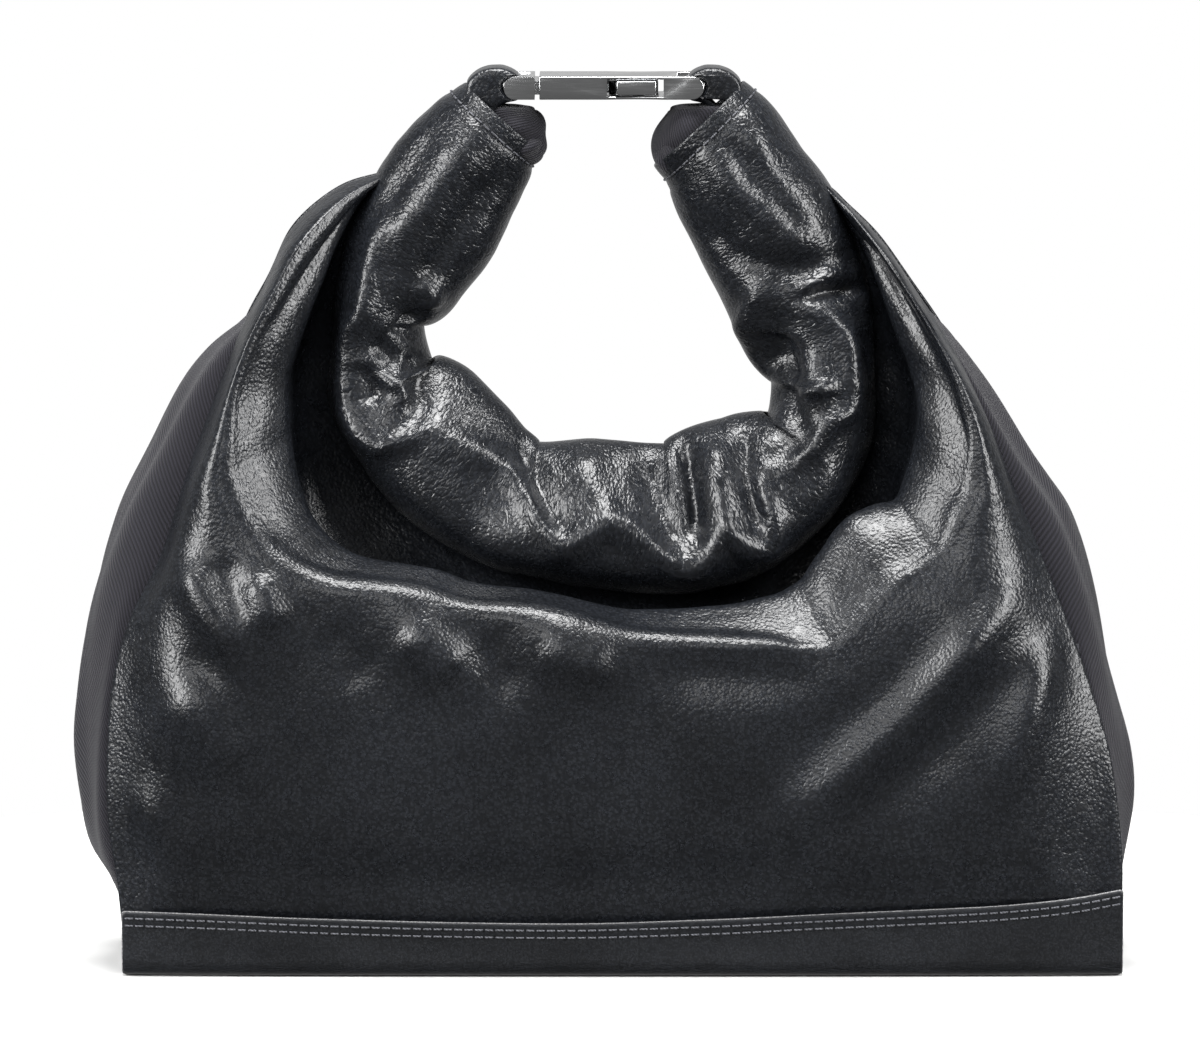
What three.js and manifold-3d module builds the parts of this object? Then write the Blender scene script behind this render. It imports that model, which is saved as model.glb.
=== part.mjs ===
// A soft roll-top handbag. Two leather panels and two twill gussets stand in a leather base band.
// The mouth is rolled into a thick tube, and its two ends are bent up and clipped together by a
// metal side-release buckle, so the rolled mouth is also the carrying loop.
// Millimetres, +Z up, +X to the right seen from the front, the front faces -Y.
// The origin is under the middle of the bag, on the surface it stands on.

import * as THREE from 'three';
import { mergeVertices } from 'three/addons/utils/BufferGeometryUtils.js';
import Module from 'manifold-3d';

const wasm = await Module();
wasm.setup();

// Material thicknesses and the clearance between neighbouring pieces
const LEATHER = 2;
const TWILL = 1.2;
const LINING = 0.8;
const GAP = 0.4;

// Side outlines of the leather, as [height, x], from the base up to the shoulders
const LEATHER_LEFT = [
  [0, -183], [36, -186], [85, -189], [111, -187], [130, -182], [160, -168], [191, -158],
  [221, -147], [246, -139], [261, -129], [280, -120], [292, -108], [302, -84],
];
const LEATHER_RIGHT = [
  [0, 196], [42, 197], [65, 195], [90, 191], [113, 183.5], [141, 174], [165, 164], [189, 154],
  [223, 141], [249, 125.5], [265, 114], [279, 104.5], [292, 93], [300, 83],
];

// Side outlines of the twill, which swells out past the leather
const TWILL_LEFT = [
  [0, -182], [33, -187.5], [47, -197], [66, -201], [77, -201], [104, -199], [142, -195],
  [172, -186.5], [197, -174], [227, -158], [246, -138],
];
const TWILL_RIGHT = [
  [0, 192], [35, 197], [66, 201], [75, 201], [99, 195.5], [116, 192.7], [147, 187.7],
  [167, 179.7], [190, 165.3], [229, 140.6], [246, 128],
];

// Half depth of the bag by height, and the share that it loses towards the side seams
const FRONT_DEPTH = [[0, 54], [25, 56], [80, 64], [110, 66], [140, 66], [200, 58], [250, 46], [305, 36]];
const BACK_DEPTH = [[0, 54], [25, 56], [80, 64], [102, 66], [120, 66], [140, 58], [170, 43], [200, 36], [305, 35]];
const SIDE_LOSS = [[0, 0.05], [80, 0.25], [160, 0.26], [220, 0.1], [250, 0], [305, 0]];

// The panels' top edges, as [x, height]: the front one hangs as a U-shaped lip in front of the
// rolled mouth, and the back one ends behind it
const FRONT_LIP = [
  [-84, 302], [-97, 289], [-112, 270], [-125, 248], [-135, 231], [-137.5, 210], [-134, 191],
  [-116, 161.5], [-82, 152.5], [-51, 145.5], [0, 137], [59, 133.5], [85, 130], [99, 145.5],
  [127, 180], [136.5, 203], [127, 229], [114, 259.5], [97, 278.5], [83, 300],
];
const BACK_TOP = [
  [-84, 302], [-92, 262], [-92, 225], [-74, 190], [-40, 172], [0, 167], [40, 172], [76, 187],
  [92, 225], [92, 262], [83, 300],
];
const PANEL_FOOT = 7;            // the panels start just above the base band's rounded corner
const TWILL_TOP = 245;

// The base band: one piece of leather under the bag, turned up and sewn on front and back
const BAND_LEFT = -183;
const BAND_RIGHT = 197;
const BAND_TOP = [[-183, 25.5], [-110, 22.5], [-17, 20.7], [82, 24.3], [150, 27.5], [197, 33.8]];
const BAND_CORNER = 6;

// The rolled mouth, as [x, radius, height] along its middle: a part that stays with the bag, and
// two arms that swing outwards when the buckle is open
const ROLL = [[-43.5, 26, 181.2], [-37, 25.5, 176.7], [-5, 28, 172], [25, 27, 170], [42.5, 30, 176.5]];
const LEFT_ARM = [
  [-52, 23, 312], [-64.5, 27, 287], [-77, 25, 264], [-88, 17, 242], [-80, 23, 222],
  [-68, 28, 205], [-57, 27.5, 192.5], [-47.5, 27, 184.5],
];
const RIGHT_ARM = [
  [46.5, 30, 178.5], [66, 24, 187], [83, 18, 208], [79, 25, 238], [72, 27, 262], [63, 28, 288],
  [52, 23, 312],
];

// The buckle, flat side up, with its strap bars across the bag
const BUCKLE_Z = 335;
const BUCKLE_HALF_LENGTH = 38;
const BUCKLE_HALF_WIDTH = 18;
const BUCKLE_THICK = 8.7;
const BAR_X = 35.6;
const BAR_R = 2.2;
const BAR_HALF = 13.2;           // half the clear width between the rails beside a strap bar
const STRAP_WIDTH = 25;
const SOCKET_MOUTH = -24.5;
const CAVITY_END = 23.5;
const CAVITY_HALF_WIDTH = 15.6;
const CAVITY_HALF_HEIGHT = 3.25;
const WINDOW = [1.2, 22.8];      // where the release tabs show, along x
const PIN_X = -17;
const PIN_Y = 9.5;
const PIN_R = 1.3;
const PIN_HOLE_R = 1.6;

const leather = { color: 0x1b1c20, roughness: 0.42, metalness: 0 };
const twill = { color: 0x1e1d23, roughness: 0.9, metalness: 0 };
const lining = { color: 0x24242a, roughness: 0.95, metalness: 0 };
const metal = { color: 0xc4c6ca, roughness: 0.18, metalness: 1 };

const bag = new THREE.Group();

function add(name, geometry, finish) {
  const piece = new THREE.Mesh(geometry, new THREE.MeshStandardMaterial(finish));
  piece.name = name;
  bag.add(piece);
  return piece;
}

// Straight-line lookup in a list of [position, value]
function lookup(list, at) {
  const next = list.findIndex((entry) => entry[0] >= at);
  if (next === 0) return list[0][1];
  if (next < 0) return list[list.length - 1][1];
  const [from, low] = list[next - 1];
  const [to, high] = list[next];
  return THREE.MathUtils.mapLinear(at, from, to, low, high);
}

// A smooth curve in the XZ plane through [x, height] points
function curveThrough(points) {
  return new THREE.CatmullRomCurve3(points.map(([x, z]) => new THREE.Vector3(x, 0, z)), false, 'centripetal');
}

function halfDepth(table, x, z) {
  const left = lookup(LEATHER_LEFT, z);
  const right = lookup(LEATHER_RIGHT, z);
  const across = Math.min(1, Math.abs((2 * x - left - right) / (right - left)));
  return lookup(table, z) * (1 - lookup(SIDE_LOSS, z) * across ** 3);
}

// A closed sheet: surface(u, v) is one face, and the sheet fills the offsets from low to high
// along the surface's normal
function sheet(columns, rows, low, high, surface) {
  const geometry = new THREE.BoxGeometry(1, 1, 1, columns, rows, 1);
  const position = geometry.attributes.position;
  const step = 1e-3;
  for (let i = 0; i < position.count; i += 1) {
    const u = position.getX(i) + 0.5;
    const v = position.getY(i) + 0.5;
    const w = position.getZ(i) + 0.5;
    const here = surface(u, v);
    const alongU = surface(Math.min(1, u + step), v).sub(surface(Math.max(0, u - step), v));
    const alongV = surface(u, Math.min(1, v + step)).sub(surface(u, Math.max(0, v - step)));
    const normal = alongU.cross(alongV).normalize();
    here.addScaledVector(normal, THREE.MathUtils.lerp(low, high, w));
    position.setXYZ(i, here.x, here.y, here.z);
  }
  return geometry;
}

// A solid round bar of changing radius along [x, radius, height] points
function roll(points, sides, rings) {
  const path = new THREE.CatmullRomCurve3(points.map((p) => new THREE.Vector3(...p)), false, 'centripetal');
  const geometry = new THREE.CylinderGeometry(1, 1, 1, sides, rings);
  const position = geometry.attributes.position;
  const across = new THREE.Vector3(0, 1, 0);
  for (let i = 0; i < position.count; i += 1) {
    const at = position.getY(i) + 0.5;
    const centre = path.getPoint(at);
    const radius = centre.y;
    const along = path.getTangent(at).setY(0).normalize();
    const outward = along.clone().cross(across);
    centre.setY(0);
    centre.addScaledVector(outward, position.getX(i) * radius);
    centre.addScaledVector(across, position.getZ(i) * radius);
    position.setXYZ(i, centre.x, centre.y, centre.z);
  }
  return geometry;
}

// Manifold solids for the pieces that are cut
function solid(geometry) {
  const bare = geometry.clone();
  bare.deleteAttribute('normal');
  bare.deleteAttribute('uv');
  const merged = mergeVertices(bare, 1e-4);
  return new wasm.Manifold(new wasm.Mesh({
    numProp: 3,
    vertProperties: new Float32Array(merged.attributes.position.array),
    triVerts: new Uint32Array(merged.index.array),
  }));
}

function geometryOf(manifold) {
  const mesh = manifold.getMesh();
  const geometry = new THREE.BufferGeometry();
  geometry.setAttribute('position', new THREE.BufferAttribute(new Float32Array(mesh.vertProperties), 3));
  geometry.setIndex(new THREE.BufferAttribute(new Uint32Array(mesh.triVerts), 1));
  geometry.computeVertexNormals();
  return geometry;
}

function box(xLow, xHigh, yLow, yHigh, zLow, zHigh) {
  const geometry = new THREE.BoxGeometry(xHigh - xLow, yHigh - yLow, zHigh - zLow);
  geometry.translate((xLow + xHigh) / 2, (yLow + yHigh) / 2, (zLow + zHigh) / 2);
  return solid(geometry);
}

// A rod along z or y, centred on the given point
function rod(radius, length, axis, x, y, z) {
  const geometry = new THREE.CylinderGeometry(radius, radius, length, 20);
  if (axis === 'z') geometry.rotateX(Math.PI / 2);
  geometry.translate(x, y, z);
  return solid(geometry);
}

// A flat outline in the XY plane, centred in height on z = 0
function plate(shape, thickness) {
  const geometry = new THREE.ExtrudeGeometry(shape, { depth: thickness, bevelEnabled: false, curveSegments: 6 });
  geometry.translate(0, 0, -thickness / 2);
  return solid(geometry);
}

// An outline in the XZ plane, extruded across the bag by width
function slab(shape, width) {
  const geometry = new THREE.ExtrudeGeometry(shape, { depth: width, bevelEnabled: false, curveSegments: 10 });
  geometry.rotateX(Math.PI / 2);
  geometry.translate(0, width / 2, 0);
  return geometry;
}

// --- Leather panels and their linings ---------------------------------------------------------

// Straight lines from the foot to the top edge, bowed out to the side outlines near the seams
function panelPlan(topEdge) {
  const top = curveThrough(topEdge);
  const reach = 5;               // how quickly the bow towards the side outline fades
  const leftTop = topEdge[0][1];
  const rightTop = topEdge[topEdge.length - 1][1];
  return (u, v) => {
    const edge = top.getPointAt(u);
    const footX = THREE.MathUtils.lerp(lookup(LEATHER_LEFT, PANEL_FOOT), lookup(LEATHER_RIGHT, PANEL_FOOT), u);
    let x = THREE.MathUtils.lerp(footX, edge.x, v);
    let z = THREE.MathUtils.lerp(PANEL_FOOT, edge.z, v);
    const leftZ = THREE.MathUtils.lerp(PANEL_FOOT, leftTop, v);
    const rightZ = THREE.MathUtils.lerp(PANEL_FOOT, rightTop, v);
    const leftStraight = THREE.MathUtils.lerp(lookup(LEATHER_LEFT, PANEL_FOOT), topEdge[0][0], v);
    const rightStraight = THREE.MathUtils.lerp(lookup(LEATHER_RIGHT, PANEL_FOOT), topEdge[topEdge.length - 1][0], v);
    x += (lookup(LEATHER_LEFT, leftZ) - leftStraight) * (1 - u) ** reach;
    x += (lookup(LEATHER_RIGHT, rightZ) - rightStraight) * u ** reach;
    return [x, z];
  };
}

const frontPlan = panelPlan(FRONT_LIP);
const backPlan = panelPlan(BACK_TOP);

function frontSurface(u, v) {
  const [x, z] = frontPlan(u, v);
  return new THREE.Vector3(x, -halfDepth(FRONT_DEPTH, x, z), z);
}

function backSurface(u, v) {
  const [x, z] = backPlan(u, v);
  return new THREE.Vector3(x, halfDepth(BACK_DEPTH, x, z), z);
}

// A flat-cut piece on the inside of a panel, between two heights and two sides
function innerSurface(table, side, low, high, left, right) {
  return (u, v) => {
    const z = THREE.MathUtils.lerp(low, high, v);
    const x = THREE.MathUtils.lerp(left(z), right(z), u);
    return new THREE.Vector3(x, side * halfDepth(table, x, z), z);
  };
}

add('front_panel', sheet(24, 10, -LEATHER, 0, frontSurface), leather);
add('back_panel', sheet(20, 10, 0, LEATHER, backSurface), leather);

const liningNear = LEATHER + 2.5;  // the lining hangs a little clear of the leather
const liningFar = liningNear + LINING;
const liningLow = 12;
const liningHigh = 126;
const seamAllowance = 14;
const liningLeft = (z) => lookup(LEATHER_LEFT, z) + seamAllowance;
const liningRight = (z) => lookup(LEATHER_RIGHT, z) - seamAllowance;
const frontLining = innerSurface(FRONT_DEPTH, -1, liningLow, liningHigh, liningLeft, liningRight);
const backLining = innerSurface(BACK_DEPTH, 1, liningLow, liningHigh, liningLeft, liningRight);
add('front_lining', sheet(16, 8, -liningFar, -liningNear, frontLining), lining);
add('back_lining', sheet(16, 8, liningNear, liningFar, backLining), lining);

// A flat pocket on the back lining
const pocketNear = liningFar + 1;
const pocket = innerSurface(BACK_DEPTH, 1, 40, 112, () => -70, () => 70);
add('inner_pocket', sheet(6, 6, pocketNear, pocketNear + LINING, pocket), lining);

// --- Twill gussets ----------------------------------------------------------------------------

// Front to back round one side, tucked in behind the leather at both ends
function gussetSurface(leatherEdge, twillEdge, side) {
  const tuck = 5;
  const behind = 3.2;
  return (u, v) => {
    const z = THREE.MathUtils.lerp(PANEL_FOOT + 1, TWILL_TOP, v);
    const seam = lookup(leatherEdge, z);
    const front = -halfDepth(FRONT_DEPTH, seam, z) + behind;
    const back = halfDepth(BACK_DEPTH, seam, z) - behind;
    const tucked = seam - side * tuck;
    const swell = Math.sqrt(Math.sin(Math.PI * u));
    return new THREE.Vector3(
      THREE.MathUtils.lerp(tucked, lookup(twillEdge, z), swell),
      THREE.MathUtils.lerp(front, back, u),
      z,
    );
  };
}

add('left_gusset', sheet(10, 12, 0, TWILL, gussetSurface(LEATHER_LEFT, TWILL_LEFT, -1)), twill);
add('right_gusset', sheet(10, 12, -TWILL, 0, gussetSurface(LEATHER_RIGHT, TWILL_RIGHT, 1)), twill);

// --- Base band --------------------------------------------------------------------------------

// One strip from the front band's top edge, down, under the bag and up the back
function bandSurface(u, v) {
  const x = THREE.MathUtils.lerp(BAND_LEFT, BAND_RIGHT, u);
  const wallEnd = 0.2;
  const cornerEnd = 0.35;
  const fromEdge = Math.min(v, 1 - v);
  const side = v < 0.5 ? -1 : 1;
  const stand = LEATHER + 3 * GAP;
  const foot = halfDepth(FRONT_DEPTH, x, BAND_CORNER) + stand;
  if (fromEdge <= wallEnd) {
    const z = THREE.MathUtils.mapLinear(fromEdge, 0, wallEnd, lookup(BAND_TOP, x), BAND_CORNER);
    return new THREE.Vector3(x, side * (halfDepth(FRONT_DEPTH, x, z) + stand), z);
  }
  if (fromEdge <= cornerEnd) {
    const turn = THREE.MathUtils.mapLinear(fromEdge, wallEnd, cornerEnd, 0, Math.PI / 2);
    const y = foot - BAND_CORNER + BAND_CORNER * Math.cos(turn);
    return new THREE.Vector3(x, side * y, BAND_CORNER * (1 - Math.sin(turn)));
  }
  const inner = THREE.MathUtils.mapLinear(fromEdge, cornerEnd, 0.5, foot - BAND_CORNER, 0);
  return new THREE.Vector3(x, side * inner, 0);
}

add('base_band', sheet(16, 20, 0, LEATHER, bandSurface), leather);

// --- Rolled mouth and its arms ----------------------------------------------------------------

const ROLL_SIDES = 14;
add('mouth_roll', roll(ROLL, ROLL_SIDES, 8), leather);
add('left_arm', roll(LEFT_ARM, ROLL_SIDES, 16), leather);
add('right_arm', roll(RIGHT_ARM, ROLL_SIDES, 16), leather);

// The leather strap end that passes round a strap bar, and the twill that peeps out beside it
function strapOutline(side) {
  const loopX = 37;
  const loopZ = BUCKLE_Z + 1.2;
  const loopR = 6.3;
  const shape = new THREE.Shape();
  shape.moveTo(side * 58, 317);
  shape.lineTo(side * 45, 310.5);
  const from = Math.atan2(-3.2, -side * 5.4);
  const to = Math.atan2(2.8, side * 5.6);
  shape.absarc(side * loopX, loopZ, loopR, from, to, side > 0);
  shape.closePath();
  const hole = new THREE.Path();
  hole.absarc(side * BAR_X, BUCKLE_Z, BAR_R + GAP, 0, 2 * Math.PI, false);
  shape.holes.push(hole);
  return shape;
}

function foldOutline(side) {
  const points = [[35, 307.5], [26, 303], [24.3, 315], [27, 326], [31, 327], [30.5, 316]];
  return new THREE.Shape(points.map(([x, z]) => new THREE.Vector2(side * x, z)));
}

for (const [name, side] of [['left', -1], ['right', 1]]) {
  add(`${name}_strap`, slab(strapOutline(side), STRAP_WIDTH), leather);
  add(`${name}_fold`, slab(foldOutline(side), STRAP_WIDTH), twill);
}

// --- Buckle -----------------------------------------------------------------------------------

// The rails and end round a strap bar, rounded in the side view; side is -1 or 1 along x
function barEnd(side, inner) {
  const outer = BUCKLE_HALF_LENGTH;
  const halfThick = BUCKLE_THICK / 2;
  const profile = new THREE.Shape();
  profile.moveTo(side * inner, -halfThick);
  profile.lineTo(side * (outer - halfThick), -halfThick);
  profile.absarc(side * (outer - halfThick), 0, halfThick, -Math.PI / 2, Math.PI / 2, side < 0);
  profile.lineTo(side * inner, halfThick);
  profile.closePath();
  const body = solid(slab(profile, 2 * BUCKLE_HALF_WIDTH));
  const slotFrom = Math.min(side * (inner + 1.8), side * (outer + 1));
  const slotTo = Math.max(side * (inner + 1.8), side * (outer + 1));
  const slot = box(slotFrom, slotTo, -BAR_HALF, BAR_HALF, -halfThick - 1, halfThick + 1);
  const bar = rod(BAR_R, 2 * BAR_HALF + 2, 'y', side * BAR_X, 0, 0);
  return body.subtract(slot).add(bar);
}

function socketSolid() {
  const w = BUCKLE_HALF_WIDTH;
  const [windowFrom, windowTo] = WINDOW;
  const middle = (windowFrom + windowTo) / 2;
  const waist = w - 3.6;         // control point of the finger recess beside each window
  const end = CAVITY_END + 3;
  const outline = new THREE.Shape();
  outline.moveTo(SOCKET_MOUTH, -w);
  outline.lineTo(windowFrom, -w);
  outline.quadraticCurveTo(middle, -waist, windowTo, -w);
  outline.lineTo(end, -w);
  outline.lineTo(end, w);
  outline.lineTo(windowTo, w);
  outline.quadraticCurveTo(middle, waist, windowFrom, w);
  outline.lineTo(SOCKET_MOUTH, w);
  outline.closePath();
  const h = CAVITY_HALF_HEIGHT;
  const cavity = box(SOCKET_MOUTH - 1, CAVITY_END, -CAVITY_HALF_WIDTH, CAVITY_HALF_WIDTH, -h, h);
  const windows = box(windowFrom, windowTo, -w - 1, w + 1, -h, h);
  return plate(outline, BUCKLE_THICK).subtract(cavity).subtract(windows).add(barEnd(1, end - 0.5));
}

function plugSolid() {
  const collar = -26.3;
  const halfWidth = CAVITY_HALF_WIDTH - 0.7;
  const half = 2.6;
  const guideEnd = 5.6;
  const forkEnd = -12;
  let body = barEnd(-1, -collar);
  body = body.add(box(collar - 0.5, forkEnd, -halfWidth, halfWidth, -half, half));
  body = body.add(box(forkEnd - 0.5, guideEnd, -3, 3, -half, half));
  for (const side of [-1, 1]) {
    const yLow = Math.min(side * 5, side * (halfWidth + 1));
    const yHigh = Math.max(side * 5, side * (halfWidth + 1));
    body = body.subtract(box(-21.4, forkEnd + 1, yLow, yHigh, -1.8, 1.8));
    body = body.subtract(rod(PIN_HOLE_R, 2 * half + 2, 'z', PIN_X, side * PIN_Y, 0));
  }
  return body;
}

// One release lever: a thin root on its pin, an arm and a thick tab that stands in the window
function leverSolid(side) {
  const armHalf = 1.5;
  const tabHalf = 2.6;
  const arm = [[-20.4, 7.4], [-20.4, 11.8], [-16, 12.4], [4, 12.4], [4, 9.6], [0, 8.6], [-13, 7.4]];
  const tab = [[2, 12.4], [5, 17.6], [19.6, 17.6], [20.6, 16.2], [20.6, 13.5], [17, 11.2], [2, 9]];
  const outline = (points) => new THREE.Shape(points.map(([x, y]) => new THREE.Vector2(x, side * y)));
  const hole = rod(PIN_HOLE_R, 8, 'z', PIN_X, side * PIN_Y, 0);
  return plate(outline(arm), 2 * armHalf).add(plate(outline(tab), 2 * tabHalf)).subtract(hole);
}

// The coil spring that pushes the two levers apart
class Coil extends THREE.Curve {
  getPoint(t, target = new THREE.Vector3()) {
    const turns = 6;
    const radius = 1.8;
    const halfLength = 9.7;
    const angle = 2 * Math.PI * turns * t;
    return target.set(13 + radius * Math.cos(angle), THREE.MathUtils.lerp(-halfLength, halfLength, t),
      radius * Math.sin(angle));
  }
}

function springGeometry() {
  const wire = new THREE.Shape();
  wire.absarc(0, 0, 0.3, 0, 2 * Math.PI, false);
  return new THREE.ExtrudeGeometry(wire, { steps: 60, extrudePath: new Coil(), curveSegments: 3, bevelEnabled: false });
}

const buckle = [
  add('socket', geometryOf(socketSolid()), metal),
  add('plug_frame', geometryOf(plugSolid()), metal),
  add('front_lever', geometryOf(leverSolid(-1)), metal),
  add('back_lever', geometryOf(leverSolid(1)), metal),
  add('front_lever_pin', geometryOf(rod(PIN_R, 5, 'z', PIN_X, -PIN_Y, 0)), metal),
  add('back_lever_pin', geometryOf(rod(PIN_R, 5, 'z', PIN_X, PIN_Y, 0)), metal),
  add('lever_spring', springGeometry(), metal),
];
for (const piece of buckle) piece.position.z = BUCKLE_Z;

export default bag;
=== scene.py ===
"""A soft roll-top handbag in black leather, with twill sides and a metal side-release buckle.

Lengths in the tables are millimetres, +X to the right seen from the front, the front faces -Y.
"""

import math
from contextlib import contextmanager

import bmesh
import bpy
import numpy as np
from bpy.props import FloatProperty, FloatVectorProperty, IntProperty, PointerProperty
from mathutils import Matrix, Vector


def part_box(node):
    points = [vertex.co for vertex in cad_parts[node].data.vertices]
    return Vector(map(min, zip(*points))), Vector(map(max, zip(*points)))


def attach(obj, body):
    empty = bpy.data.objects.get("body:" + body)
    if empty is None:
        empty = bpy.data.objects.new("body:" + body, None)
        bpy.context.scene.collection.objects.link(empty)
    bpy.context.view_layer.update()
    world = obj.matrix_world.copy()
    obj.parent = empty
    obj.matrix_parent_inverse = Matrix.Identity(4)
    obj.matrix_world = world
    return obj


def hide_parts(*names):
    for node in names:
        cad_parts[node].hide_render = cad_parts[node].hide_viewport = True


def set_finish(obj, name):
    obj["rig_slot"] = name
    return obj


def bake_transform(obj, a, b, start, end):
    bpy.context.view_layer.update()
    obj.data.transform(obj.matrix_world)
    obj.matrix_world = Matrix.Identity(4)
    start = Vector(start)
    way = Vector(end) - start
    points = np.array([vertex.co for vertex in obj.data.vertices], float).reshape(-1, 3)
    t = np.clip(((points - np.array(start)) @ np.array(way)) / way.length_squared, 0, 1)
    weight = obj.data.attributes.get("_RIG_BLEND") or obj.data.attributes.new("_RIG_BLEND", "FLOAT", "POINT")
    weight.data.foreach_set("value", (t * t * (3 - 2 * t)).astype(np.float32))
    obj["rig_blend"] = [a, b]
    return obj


bl_info = {
    "name": "Roll-top handbag",
    "version": (1, 0, 0),
    "blender": (4, 5, 0),
    "location": "3D View > Sidebar > Handbag",
    "description": "Builds a soft leather handbag whose rolled mouth is clipped together by a buckle",
    "category": "Object",
}

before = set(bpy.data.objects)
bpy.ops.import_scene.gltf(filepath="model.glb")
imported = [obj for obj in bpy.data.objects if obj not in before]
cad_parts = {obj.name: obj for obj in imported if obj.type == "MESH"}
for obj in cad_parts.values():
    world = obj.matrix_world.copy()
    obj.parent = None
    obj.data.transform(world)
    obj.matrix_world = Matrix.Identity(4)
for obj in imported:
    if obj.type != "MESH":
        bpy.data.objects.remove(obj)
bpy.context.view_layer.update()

MM = 0.001
SPLIT_X = 4.0            # the soft pieces are made in a left and a right half that meet here
BEND_START = 205.0       # below this height the soft pieces stay with the bag
BEND_END = 300.0         # above it they swing with an arm
WELD = 1e-6              # points nearer than this are one point, in metres
FLAT_ANGLE = math.radians(0.5)
GRAIN_WARP = 0.0005      # how far the leather's pebbles are pushed out of round, in metres
WAVES_PER_UNIT = 3.2     # bands in one unit of a wave pattern at scale 1
BASE_MIDDLE_X = 7        # middle of the bag's foot
BASE_HALF_WIDTH = 190
ROLL_SEAT_DEPTH = 5.0    # how far behind the middle the front leather meets the roll
ROLL_SIDES = 88          # points round the rolled mouth
ROLL_GIRTH = 2 * math.pi * 26
END_STITCH = 6.0         # distance of the stitches from an arm's edge
BUCKLE_ROOM = 327        # the twill folds are flattened above this height, so that the buckle can turn


def linear(hex_colour):
    """An sRGB hex colour as linear red, green, blue and alpha."""
    values = [int(hex_colour[i:i + 2], 16) / 255 for i in (1, 3, 5)]
    return [v / 12.92 if v <= 0.04045 else ((v + 0.055) / 1.055) ** 2.4 for v in values] + [1.0]


# --- Sizes and colours that a user would change ---


class HandbagSizes(bpy.types.PropertyGroup):
    leather_thickness: FloatProperty(
        name="Leather", description="Thickness of the bag leather",
        default=1.6 * MM, min=0.8 * MM, max=3 * MM, unit="LENGTH")
    band_thickness: FloatProperty(
        name="Base leather", description="Thickness of the leather of the base band",
        default=2.0 * MM, min=1 * MM, max=3 * MM, unit="LENGTH")
    twill_thickness: FloatProperty(
        name="Twill", description="Thickness of the cotton twill",
        default=1.0 * MM, min=0.4 * MM, max=2 * MM, unit="LENGTH")
    lining_thickness: FloatProperty(
        name="Lining", description="Thickness of the cotton lining",
        default=0.8 * MM, min=0.3 * MM, max=2 * MM, unit="LENGTH")
    stitch_pitch: FloatProperty(
        name="Stitch pitch", description="Distance from one stitch to the next",
        default=3.9 * MM, min=2 * MM, max=6 * MM, unit="LENGTH")
    stitch_length: FloatProperty(
        name="Stitch length", description="Visible length of one stitch",
        default=2.9 * MM, min=1 * MM, max=5 * MM, unit="LENGTH")
    thread_radius: FloatProperty(
        name="Thread radius", description="Radius of the sewing thread",
        default=0.38 * MM, min=0.2 * MM, max=1 * MM, unit="LENGTH")
    body_columns: IntProperty(
        name="Body columns", description="Grid columns round each half of the leather body",
        default=150, min=40, max=300)
    roll_rings: IntProperty(
        name="Roll rings", description="Rings along each half of the rolled mouth",
        default=190, min=40, max=300)
    edge_bevel: FloatProperty(
        name="Buckle edge", description="Rounding of the buckle's edges",
        default=0.45 * MM, min=0.1 * MM, max=1 * MM, unit="LENGTH")


class HandbagColours(bpy.types.PropertyGroup):
    leather: FloatVectorProperty(
        name="Leather", description="Body colour of the dyed leather",
        default=linear("#181a1e"), size=4, min=0, max=1, subtype="COLOR")
    twill: FloatVectorProperty(
        name="Twill", description="Colour of the cotton twill",
        default=linear("#201f25"), size=4, min=0, max=1, subtype="COLOR")
    thread: FloatVectorProperty(
        name="Thread", description="Colour of the sewing thread",
        default=linear("#4a4b50"), size=4, min=0, max=1, subtype="COLOR")
    metal: FloatVectorProperty(
        name="Metal", description="Colour of the plated buckle",
        default=linear("#d2d3d4"), size=4, min=0, max=1, subtype="COLOR")
    floor: FloatVectorProperty(
        name="Floor", description="Colour of the studio floor",
        default=linear("#f2f2f1"), size=4, min=0, max=1, subtype="COLOR")


# --- The bag's shape ---

# Outer edge of the leather body: station round the bag, x, height. Stations run from the left
# shoulder down the left seam, along the base and up the right seam.
OUTER_EDGE = [
    (0, -84, 302), (0.03, -97, 298.5), (0.06, -108, 292), (0.10, -120, 280), (0.14, -129, 261),
    (0.17, -137, 246), (0.20, -147, 221), (0.235, -158, 191), (0.265, -168, 160),
    (0.295, -182, 130), (0.315, -188, 100), (0.33, -189, 70), (0.35, -185, 36), (0.37, -180.5, 10),
    (0.50, 6, 10), (0.63, 196, 10), (0.65, 197, 42), (0.67, 193, 80), (0.69, 187, 103),
    (0.715, 177, 132), (0.745, 164, 165), (0.775, 154, 189), (0.80, 145, 212), (0.83, 131, 240),
    (0.86, 119, 258), (0.90, 104.5, 278.5), (0.94, 93, 290), (0.97, 88, 295), (1, 82.5, 299),
]

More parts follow.
